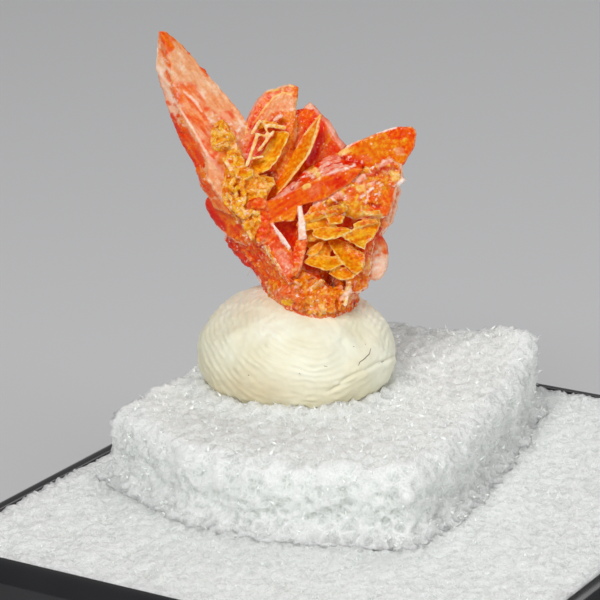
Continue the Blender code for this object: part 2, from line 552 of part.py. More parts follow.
def crystal_cluster(mat, fan):
    """All the crystals joined in one solid by a Boolean union."""
    solids = (cores() + tall_blade() + centre_blades() + yellow_druse() + front_bar()
              + right_mass() + hollow_plates() + rear_blades())
    grown = bpy.data.collections.new("grown_crystals")
    bpy.context.scene.collection.children.link(grown)
    parts = []
    for number, bm in enumerate(solids):
        part = add_object("crystal_%02d" % number, bm, None, fan)
        bpy.context.collection.objects.unlink(part)
        grown.objects.link(part)
        parts.append(part)
    cluster = add_object("wulfenite_cluster", foot(), mat, fan)
    join = cluster.modifiers.new("join", "BOOLEAN")
    join.operation = "UNION"
    join.solver = "EXACT"
    join.operand_type = "COLLECTION"
    join.collection = grown
    depsgraph = bpy.context.evaluated_depsgraph_get()
    joined = bpy.data.meshes.new_from_object(cluster.evaluated_get(depsgraph))
    cluster.modifiers.clear()
    cluster.data = joined
    for part in parts:
        bpy.data.objects.remove(part)
    bpy.data.collections.remove(grown)
    clean = bmesh.new()
    clean.from_mesh(joined)
    bmesh.ops.remove_doubles(clean, verts=clean.verts, dist=MERGE * MM)
    fill_closed_hollows(clean)
    bmesh.ops.triangulate(clean, faces=clean.faces)
    clean.to_mesh(joined)
    clean.free()
    return cluster


def main():
    for obj in list(bpy.data.objects):
        bpy.data.objects.remove(obj)
    fan = bpy.data.objects.new("fan_axis", None)
    bpy.context.collection.objects.link(fan)
    fan.location = metres(*PUTTY_AXIS, PUTTY_BOTTOM)
    fan.rotation_euler = (0.0, 0.0, FAN_TURN)
    black = plain_material("black_plastic", (0.012, 0.012, 0.014), 0.2)
    white = plain_material("white_foam", (0.86, 0.88, 0.88), 0.75)
    cream = plain_material("cream_putty", (0.87, 0.84, 0.68), 0.6)
    orange = plain_material("orange_wulfenite", (0.83, 0.2, 0.02), 0.3)
    box_base(black)
    foam_liner(white)
    foam_block(white)
    putty_ball(cream, fan)
    crystal_cluster(orange, fan)
    bpy.context.view_layer.update()


main()
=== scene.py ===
"""Looks of a wulfenite specimen, laid out as an add-on: crystals, putty, foam, box base and stage."""

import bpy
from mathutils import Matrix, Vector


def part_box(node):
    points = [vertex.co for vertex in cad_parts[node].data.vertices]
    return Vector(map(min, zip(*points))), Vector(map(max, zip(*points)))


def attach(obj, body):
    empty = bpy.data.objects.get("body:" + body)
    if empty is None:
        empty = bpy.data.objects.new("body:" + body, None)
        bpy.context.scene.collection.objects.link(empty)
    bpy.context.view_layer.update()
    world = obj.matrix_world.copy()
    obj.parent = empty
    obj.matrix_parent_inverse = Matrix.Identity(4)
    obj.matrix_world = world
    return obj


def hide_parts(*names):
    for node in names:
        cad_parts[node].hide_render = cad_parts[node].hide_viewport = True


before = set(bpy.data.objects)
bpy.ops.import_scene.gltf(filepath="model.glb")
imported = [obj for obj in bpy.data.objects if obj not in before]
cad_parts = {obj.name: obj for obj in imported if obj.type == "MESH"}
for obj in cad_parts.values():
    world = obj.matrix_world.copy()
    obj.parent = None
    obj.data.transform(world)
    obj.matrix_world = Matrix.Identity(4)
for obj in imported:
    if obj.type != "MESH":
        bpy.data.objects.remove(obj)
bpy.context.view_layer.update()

import math
import random
from contextlib import contextmanager

import bpy
import numpy as np
from bpy.props import FloatProperty, FloatVectorProperty, IntProperty, PointerProperty
from mathutils import Matrix, Vector
from mathutils.bvhtree import BVHTree

bl_info = {
    "name": "Wulfenite specimen",
    "version": (1, 0, 0),
    "blender": (4, 5, 0),
    "location": "3D View > Sidebar > Specimen",
    "description": "Builds an orange wulfenite crystal cluster in putty on foam, in a black box base",
    "category": "Object",
}

MM = 0.001
CLUSTER = "wulfenite_cluster"

# The crystals are drawn on a plane through the putty's axis that leans back and faces the camera: its turn
# and its lean, the drawing's place of the axis's foot, and the place (mm) that the camera looks straight at
FAN_TURN = math.radians(30.57)
DRAWING_TILT = math.radians(17.33)
DRAWING_FOOT = (-1.76, -6.45)
EYE_FOOT = (-1.5, 0.2)
# Distance (mm) from the camera to that plane
EYE_DISTANCE = 253.0

# The putty ball (mm): foot of its axis, half width, half height, and height of its middle over the foot
PUTTY_LOW, PUTTY_HIGH = (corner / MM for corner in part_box("putty_ball"))
PUTTY_AXIS = Vector(((PUTTY_LOW.x + PUTTY_HIGH.x) / 2, (PUTTY_LOW.y + PUTTY_HIGH.y) / 2, PUTTY_LOW.z))
PUTTY_RADIUS = 8.3
PUTTY_HALF_HEIGHT = 5.6
PUTTY_CENTRE_HEIGHT = 2.4

# Half length (mm) of the sight lines through the drawing
SIGHT_REACH = 30.0

# Camera that stands where the photographer stood: its place (m) and its lens (mm)
CAMERA_PLACE = (0.11158, -0.20195, 0.09765)
CAMERA_LENS = 181.3

# A face's part number is four times its kind of surface, plus its place on the crystal
GLOW, ETCHED, FROSTED_SHEEN, LEAF, DRUSE, CRUMB, DARK, PALE, GLASS, STRAW, HONEY, ROOT = range(12)
BACK, SIDE, EDGE, FRONT = range(4)


# Places

def drawn(x, y, z):
    """Point x across and y up the drawing and z in front of it (mm), as a place in metres."""
    near = 1.0 - z / EYE_DISTANCE
    across = EYE_FOOT[0] + (x - EYE_FOOT[0]) * near - DRAWING_FOOT[0]
    up = EYE_FOOT[1] + (y - EYE_FOOT[1]) * near - DRAWING_FOOT[1]
    back = up * math.sin(DRAWING_TILT) - z * math.cos(DRAWING_TILT)
    height = up * math.cos(DRAWING_TILT) + z * math.sin(DRAWING_TILT)
    return (Matrix.Rotation(FAN_TURN, 3, "Z") @ Vector((across, back, height)) + PUTTY_AXIS) * MM


def to_drawing(places):
    """The drawing's x, y and z (mm) of an array of places in metres."""
    q = places / MM - np.array(PUTTY_AXIS)
    c, s = math.cos(FAN_TURN), math.sin(FAN_TURN)
    across, back = q[:, 0] * c + q[:, 1] * s, q[:, 1] * c - q[:, 0] * s
    up = back * math.sin(DRAWING_TILT) + q[:, 2] * math.cos(DRAWING_TILT)
    z = q[:, 2] * math.sin(DRAWING_TILT) - back * math.cos(DRAWING_TILT)
    near = 1.0 - z / EYE_DISTANCE
    x = (across + DRAWING_FOOT[0] - EYE_FOOT[0]) / near + EYE_FOOT[0]
    y = (up + DRAWING_FOOT[1] - EYE_FOOT[1]) / near + EYE_FOOT[1]
    return np.stack((x, y, z), axis=1)


def linear(red, green, blue):
    """Linear colour of an sRGB one given in 0 to 255."""
    return tuple(((c / 255 + 0.055) / 1.055) ** 2.4 if c > 10 else c / 255 / 12.92
                 for c in (red, green, blue))


# Noise on arrays of points

def lattice(ix, iy, iz, seed):
    """A number from 0 to 1 for each corner of a grid."""
    h = (ix.astype(np.uint32) * np.uint32(0x8DA6B343)) ^ (iy.astype(np.uint32) * np.uint32(0xD8163841))
    h = h ^ (iz.astype(np.uint32) * np.uint32(0xCB1AB31F)) ^ np.uint32(seed * 0x9E3779B9 & 0xFFFFFFFF)
    h = (h ^ (h >> np.uint32(13))) * np.uint32(0x5BD1E995)
    h = (h ^ (h >> np.uint32(15))) * np.uint32(0x27D4EB2D)
    return (h ^ (h >> np.uint32(15))).astype(np.float64) / 4294967295.0


def soft_noise(points, size, seed, octaves=1):
    """Smooth noise from 0 to 1; size is the width of one bump, halved at each octave."""
    total, weight, out = 0.0, 1.0, np.zeros(len(points))
    for octave in range(octaves):
        p = points / (size * 0.5 ** octave) + 31.7 * octave
        base = np.floor(p).astype(np.int64)
        f = p - base
        f = f * f * (3.0 - 2.0 * f)
        value = np.zeros(len(points))
        for dx in (0, 1):
            for dy in (0, 1):
                for dz in (0, 1):
                    corner = lattice(base[:, 0] + dx, base[:, 1] + dy, base[:, 2] + dz, seed + octave)
                    share = ((f[:, 0] if dx else 1 - f[:, 0]) * (f[:, 1] if dy else 1 - f[:, 1])
                             * (f[:, 2] if dz else 1 - f[:, 2]))
                    value += corner * share
        out += value * weight
        total += weight
        weight *= 0.5
    return out / total


def cell_noise(points, size, seed):
    """Distances to the nearest and the second nearest of scattered seeds, and the nearest's number."""
    p = points / size
    base = np.floor(p).astype(np.int64)
    first = np.full(len(points), 9.0)
    second = np.full(len(points), 9.0)
    name = np.zeros(len(points))
    for dx in (-1, 0, 1):
        for dy in (-1, 0, 1):
            for dz in (-1, 0, 1):
                cx, cy, cz = base[:, 0] + dx, base[:, 1] + dy, base[:, 2] + dz
                jx, jy, jz = (lattice(cx, cy, cz, seed + k) for k in (1, 2, 3))
                gap = np.sqrt((cx + jx - p[:, 0]) ** 2 + (cy + jy - p[:, 1]) ** 2
                              + (cz + jz - p[:, 2]) ** 2)
                closer = gap < first
                second = np.where(closer, first, np.minimum(second, gap))
                name = np.where(closer, jx, name)
                first = np.where(closer, gap, first)
    return first * size, second * size, name


def smooth_step(low, high, value):
    """Nought below low, one above high, and an even rise between them."""
    t = np.clip((value - low) / (high - low), 0.0, 1.0)
    return t * t * (3.0 - 2.0 * t)


# Modelling

def deselect_all():
    for obj in list(bpy.context.selected_objects):
        obj.select_set(False)


def select_only(obj):
    deselect_all()
    obj.hide_set(False)
    obj.select_set(True)
    bpy.context.view_layer.objects.active = obj


@contextmanager
def edit_mode():
    bpy.ops.object.mode_set(mode="EDIT")
    yield
    bpy.ops.object.mode_set(mode="OBJECT")


def mark_faces(obj, kind):
    """Number every face as the front of one kind of surface."""
    mesh = obj.data
    part = mesh.attributes.get("part") or mesh.attributes.new("part", "INT", "FACE")
    part.data.foreach_set("value", [kind * 4 + FRONT] * len(mesh.polygons))
    return obj


def tower(rings, kind=0):
    """Closed solid through rings of equal length: a disc extruded ring by ring, then put in place."""
    sides = len(rings[0])
    deselect_all()
    bpy.ops.mesh.primitive_circle_add(vertices=sides, radius=1.0, fill_type="NGON")
    obj = bpy.context.object
    with edit_mode():
        for _ in rings[1:]:
            bpy.ops.mesh.extrude_region_move(TRANSFORM_OT_translate={"value": (0.0, 0.0, 1.0)})
        bpy.ops.mesh.select_all(action="SELECT")
    mesh = obj.data
    levels = [round(v.co.z) for v in mesh.vertices]
    part = mesh.attributes.new("part", "INT", "FACE")
    last = len(rings) - 1
    for poly in mesh.polygons:
        low = min(levels[v] for v in poly.vertices)
        high = max(levels[v] for v in poly.vertices)
        if high == 0:
            place = BACK
        elif low == last or low >= 2:
            place = FRONT
        else:
            place = EDGE if high == 2 else SIDE
        part.data[poly.index].value = kind * 4 + place
    for vert, level in zip(mesh.vertices, levels):
        k = round((math.atan2(vert.co.y, vert.co.x) / math.tau - 0.25) * sides) % sides
        vert.co = rings[level][k]
    with edit_mode():
        bpy.ops.mesh.normals_make_consistent(inside=False)
    return obj


def hull(kind, points):
    """Chunky solid: the convex hull of points of the drawing."""
    deselect_all()
    bpy.ops.mesh.primitive_circle_add(vertices=len(points), radius=1.0)
    obj = bpy.context.object
    for vert, point in zip(obj.data.vertices, points):
        vert.co = drawn(*point)
    with edit_mode():
        bpy.ops.mesh.select_all(action="SELECT")
        bpy.ops.mesh.convex_hull()
        bpy.ops.mesh.normals_make_consistent(inside=False)
    return mark_faces(obj, kind)


def jagged(outline, pitch, depth, seed):
    """The outline with its edges broken into short steps that go in and out."""
    rng = random.Random(seed)
    out = []
    for a, b in zip(outline, outline[1:] + outline[:1]):
        a, b = Vector(a), Vector(b)
        steps = max(1, round((b - a).length / pitch))
        side = Vector((b.y - a.y, a.x - b.x)).normalized()
        for k in range(steps):
            p = a.lerp(b, k / steps)
            if k:
                p += side * depth * rng.uniform(-1.0, 1.0)
            out.append((p.x, p.y))
    return out


def crystal(kind, outline, at, lean, thick, bevel=0.14, back=0.9, dish=0.0, jag=0.0, pitch=0.28):
    """Bevelled tablet: outline (mm), a point on its face, the face's lean per mm across and up."""
    outline = list(outline)
    if jag:
        outline = jagged(outline, pitch, jag, round(at[0] * 37 + at[1] * 91))
    middle = sum((Vector(p) for p in outline), Vector((0.0, 0.0))) / len(outline)

    def ring(scale_at, drop):
        places = []
        for point in outline:
            arm = Vector(point) - middle
            x, y = middle + arm * scale_at(arm.length)
            z = at[2] + lean[0] * (x - at[0]) + lean[1] * (y - at[1]) - drop
            places.append(drawn(x, y, z))
        return places

    rings = [ring(lambda reach: back, thick), ring(lambda reach: 1.0, min(bevel * 1.4, thick / 2)),
             ring(lambda reach: max(0.3, 1.0 - bevel / reach), 0.0)]
    if dish:
        rings.append(ring(lambda reach: 0.62, dish * 0.7))
        rings.append(ring(lambda reach: 0.25, dish))
    return tower(rings, kind)


def needle(kind, start, end, width, thick=0.5):
    """Rod-shaped crystal between two points of the drawing."""
    (x0, y0, z0), (x1, y1, z1) = start, end
    along = Vector((x1 - x0, y1 - y0))
    side = Vector((-along.y, along.x)).normalized() * width / 2
    tip = along.normalized() * width / 2
    a, b = Vector((x0, y0)), Vector((x1, y1))
    outline = [tuple(q) for q in (a + side, a - tip + side * 0.3, a - side, b - side, b + tip - side * 0.3,
                                  b + side)]
    slope = (z1 - z0) / max(along.length_squared, 1e-6)
    return crystal(kind, outline, start, (along.x * slope, along.y * slope), thick, bevel=width * 0.2)


def ridged_blade(kind, stations, ridge_depth, depth_per_mm):
    """Blade with a raised ridge: left edge, ridge, right edge and fullness at each station."""
    rings = []
    for left, ridge, right, full in stations:
        z = ridge_depth + depth_per_mm * ridge[1]
        rings.append([
            drawn(*left, z - 1.4 * full), drawn(*ridge, z), drawn(*right, z - 1.9 * full),
            drawn(right[0] - 0.15, right[1] - 0.15, z - 2.4 * full),
            drawn(left[0] + 0.25, left[1], z - 2.2 * full)])
    return mark_faces(tower(rings, kind), kind)


def join(parts):
    """One object of several."""
    deselect_all()
    for part in parts:
        part.select_set(True)
    bpy.context.view_layer.objects.active = parts[0]
    if len(parts) > 1:
        bpy.ops.object.join()
    return bpy.context.view_layer.objects.active


def apply_modifiers(obj):
    select_only(obj)
    for modifier in list(obj.modifiers):
        bpy.ops.object.modifier_apply(modifier=modifier.name)


def cut_flat(height):
    """Cut away what is under a height (m) from the mesh in hand, and close it there."""
    with edit_mode():
        bpy.ops.mesh.select_all(action="SELECT")
        bpy.ops.mesh.bisect(plane_co=(0.0, 0.0, height), plane_no=(0.0, 0.0, 1.0), use_fill=True,
                            clear_inner=True)


def fuse(obj, voxel):
    """Fuse what is joined into one closed skin of even small faces."""
    remesh = obj.modifiers.new("fuse", "REMESH")
    remesh.mode = "VOXEL"
    remesh.voxel_size = voxel * MM
    apply_modifiers(obj)


def tree_of(mesh):
    return BVHTree.FromPolygons([v.co for v in mesh.vertices], [p.vertices for p in mesh.polygons])


def surface_of(obj):
    """Search tree of a mesh, and its faces' part numbers."""
    numbers = np.zeros(len(obj.data.polygons), np.int32)
    obj.data.attributes["part"].data.foreach_get("value", numbers)
    return tree_of(obj.data), numbers


def places_of(mesh):
    co = np.empty(len(mesh.vertices) * 3)
    mesh.vertices.foreach_get("co", co)
    return co.reshape(-1, 3)


def normals_of(mesh):
    out = np.empty(len(mesh.vertices) * 3)
    mesh.vertex_normals.foreach_get("vector", out)
    return out.reshape(-1, 3)


def move_vertices(mesh, co):
    mesh.vertices.foreach_set("co", co.ravel())
    mesh.update()


def write_values(mesh, name, values):
    """Store a number from 0 to 1 for each vertex."""
    attribute = mesh.attributes.new(name, "FLOAT", "POINT")
    attribute.data.foreach_set("value", np.clip(values, 0.0, 1.0).astype(np.float32))


def many_copies(template, matrices, kind):
    """One mesh of a template's copies, each placed by its matrix."""
    base = places_of(template.data)
    faces = [list(p.vertices) for p in template.data.polygons]
    verts, polys = [], []
    for matrix in matrices:
        start = len(verts)
        m = np.array(matrix)
        verts += list(base @ m[:3, :3].T + m[:3, 3])
        polys += [[start + v for v in face] for face in faces]
    mesh = bpy.data.meshes.new("copies")
    mesh.from_pydata([tuple(v) for v in verts], [], polys)
    obj = bpy.data.objects.new("copies", mesh)
    bpy.context.scene.collection.objects.link(obj)
    return mark_faces(obj, kind)


def finish_piece(obj, name, material, slot, *replaced):
    """Name the piece, dress it, let it ride on the part and hide the parts that it stands for."""
    obj.name = name
    obj.data.name = name
    obj.data.materials.clear()
    obj.data.materials.append(material)
    for poly in obj.data.polygons:
        poly.material_index = 0
    select_only(obj)
    bpy.ops.object.transform_apply(location=True, rotation=True, scale=True)
    obj.data.shade_smooth()
    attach(obj, "root")
    if replaced:
        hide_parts(*replaced)
    return obj


# Small crystals strewn on the large ones

def grain_template(shape):
    """One small crystal of unit size: a tablet with cut corners, a block or a spike."""
    deselect_all()
    sides, height = {"tablet": (8, 0.36), "block": (6, 0.9), "spike": (4, 2.6)}[shape]
    bpy.ops.mesh.primitive_cylinder_add(vertices=sides, radius=1.0, depth=height)
    obj = bpy.context.object
    with edit_mode():
        bpy.ops.mesh.select_all(action="DESELECT")
    for poly in obj.data.polygons:
        poly.select = abs(poly.normal.z) > 0.9
    with edit_mode():
        bpy.ops.mesh.inset(thickness=0.16)
    squeeze = 1.22 if shape in ("tablet", "block") else 1.0
    for vert in obj.data.vertices:
        vert.co.x *= squeeze
        vert.co.y *= 1.0 / squeeze
    return obj


def inside(point, outline):
    """Whether a point of the drawing lies inside an outline."""
    x, y = point
    hit = False
    for (x0, y0), (x1, y1) in zip(outline, outline[1:] + outline[:1]):
        if (y0 > y) != (y1 > y) and x < x0 + (y - y0) * (x1 - x0) / (y1 - y0):
            hit = not hit
    return hit


def on_surface(tree, x, y, from_behind=False):
    """Place and normal where the sight line through a point of the drawing meets a surface."""
    start, end = drawn(x, y, SIGHT_REACH), drawn(x, y, -SIGHT_REACH)
    if from_behind:
        start, end = end, start
    return tree.ray_cast(start, (end - start).normalized())[:2]


def planted(rng, place, upward, tilt, stretch, size):
    """Matrix of a small copy that leans at random from the way up and is turned at random."""
    axis = (upward + Vector([rng.gauss(0.0, tilt) for _ in range(3)])).normalized()
    turn = axis.to_track_quat("Z", "Y").to_matrix().to_4x4()
    spin = Matrix.Rotation(rng.uniform(0.0, math.tau), 4, "Z")
    shape = Matrix.Diagonal((*stretch(), 1.0))
    return Matrix.Translation(place) @ turn @ spin @ shape @ Matrix.Scale(size, 4)


def strew(tree, kind, shape, region, count, sizes, tilt, seed, sink=0.3, from_behind=False):
    """Small crystals where sight lines through the region of the drawing meet the surface."""
    rng = random.Random(seed)
    xs, ys = [p[0] for p in region], [p[1] for p in region]
    matrices = []
    tries = 0

    def stretch():
        return rng.uniform(0.8, 1.25), rng.uniform(0.8, 1.25), rng.uniform(0.8, 1.2)

    while len(matrices) < count and tries < count * 12:
        tries += 1
        x, y = rng.uniform(min(xs), max(xs)), rng.uniform(min(ys), max(ys))
        if not inside((x, y), region):
            continue
        place, normal = on_surface(tree, x, y, from_behind)
        if place is None:
            continue
        size = rng.uniform(*sizes) * MM
        upward = Vector((0.0, 0.0, 1.6)) if shape == "spike" else normal
        matrices.append(planted(rng, place - normal * size * sink, upward, tilt, stretch, size))
    template = grain_template(shape)
    copies = many_copies(template, matrices, kind)
    bpy.data.objects.remove(template)
    return copies


COLOURS = {name: linear(*rgb) for name, rgb in {
    "white": (255, 240, 228), "pale": (252, 212, 186), "pink": (246, 172, 148), "peach": (241, 166, 116),
    "tan": (240, 178, 132), "salmon": (238, 112, 60), "straw": (248, 200, 110), "yellow": (240, 172, 24),
    "gold": (230, 142, 4), "amber": (236, 130, 8), "orange": (240, 106, 2), "fire": (238, 80, 0),
    "red": (226, 52, 0), "deep": (196, 26, 0), "blood": (120, 8, 0), "brown": (188, 92, 6)}.items()}

# Of each kind: colours in broad drifts, their width (mm), colours of its grains, the grains' width and
# strength, frost, and the heights of its waves, of its grains and of its streaks (mm)
KINDS = {
    GLOW: (("fire", "orange", "red"), 1.0, ("orange", "fire", "amber", "red", "peach"), 0.3, 0.45,
           0.06, 0.07, 0.03, 0.04),
    ETCHED: (("fire", "red", "orange"), 0.8, ("fire", "orange", "red", "amber", "salmon", "fire", "orange"),
             0.3, 0.75, 0.08, 0.12, 0.1, 0.05),
    # The frosted kind's peach, tan and pink are partly its own pale frost and partly painted reflection of
    # the lights
    FROSTED_SHEEN: (("peach", "tan", "salmon"), 1.2, ("peach", "white", "salmon", "amber"),
              0.24, 0.4, 0.55, 0.06, 0.05, 0.03),
    LEAF: (("gold", "amber", "yellow"), 0.9, ("gold", "amber", "brown"), 0.3, 0.3, 0.2, 0.04, 0.02, 0.02),
    DRUSE: (("yellow", "gold", "amber"), 0.5, ("yellow", "straw", "gold", "amber", "brown", "straw"),
            0.26, 0.6, 0.25, 0.03, 0.05, 0.0),
    CRUMB: (("orange", "amber", "salmon"), 0.7,
            ("orange", "amber", "amber", "peach", "straw", "fire", "pink", "brown"),
            0.28, 0.65, 0.2, 0.08, 0.08, 0.0),
    STRAW: (("straw", "yellow", "straw"), 0.5, ("straw", "pale", "yellow"), 0.25, 0.4, 0.3, 0.02, 0.03, 0.0),
    ROOT: (("amber", "brown", "orange"), 0.6, ("amber", "straw", "fire", "brown", "pink", "orange", "tan"),
           0.3, 0.6, 0.15, 0.08, 0.1, 0.06),
    HONEY: (("amber", "orange", "peach"), 0.8, ("amber", "straw", "peach", "orange", "salmon"), 0.24, 0.6,
            0.3, 0.06, 0.05, 0.04),
    DARK: (("red", "red", "deep"), 0.9, ("deep", "red"), 0.4, 0.3, 0.06, 0.04, 0.04, 0.0),
    PALE: (("pale", "pink", "white"), 0.4, ("white", "pink", "pale"), 0.25, 0.3, 0.5, 0.02, 0.03, 0.02),
    GLASS: (("orange", "amber", "fire"), 0.9, ("orange", "amber", "fire", "yellow"), 0.24, 0.5, 0.06,
            0.03, 0.02, 0.0)}
RIM = {GLOW: "salmon", ETCHED: "salmon", FROSTED_SHEEN: "pale", LEAF: "straw", DRUSE: "straw", CRUMB: "pale",
       DARK: "red", PALE: "white", GLASS: "peach", STRAW: "pale", HONEY: "straw", ROOT: "pale"}

# Strength of the paint on the crystals, and how far a face may turn away and still be touched
PIGMENT = 0.83
GLANCING = -0.2
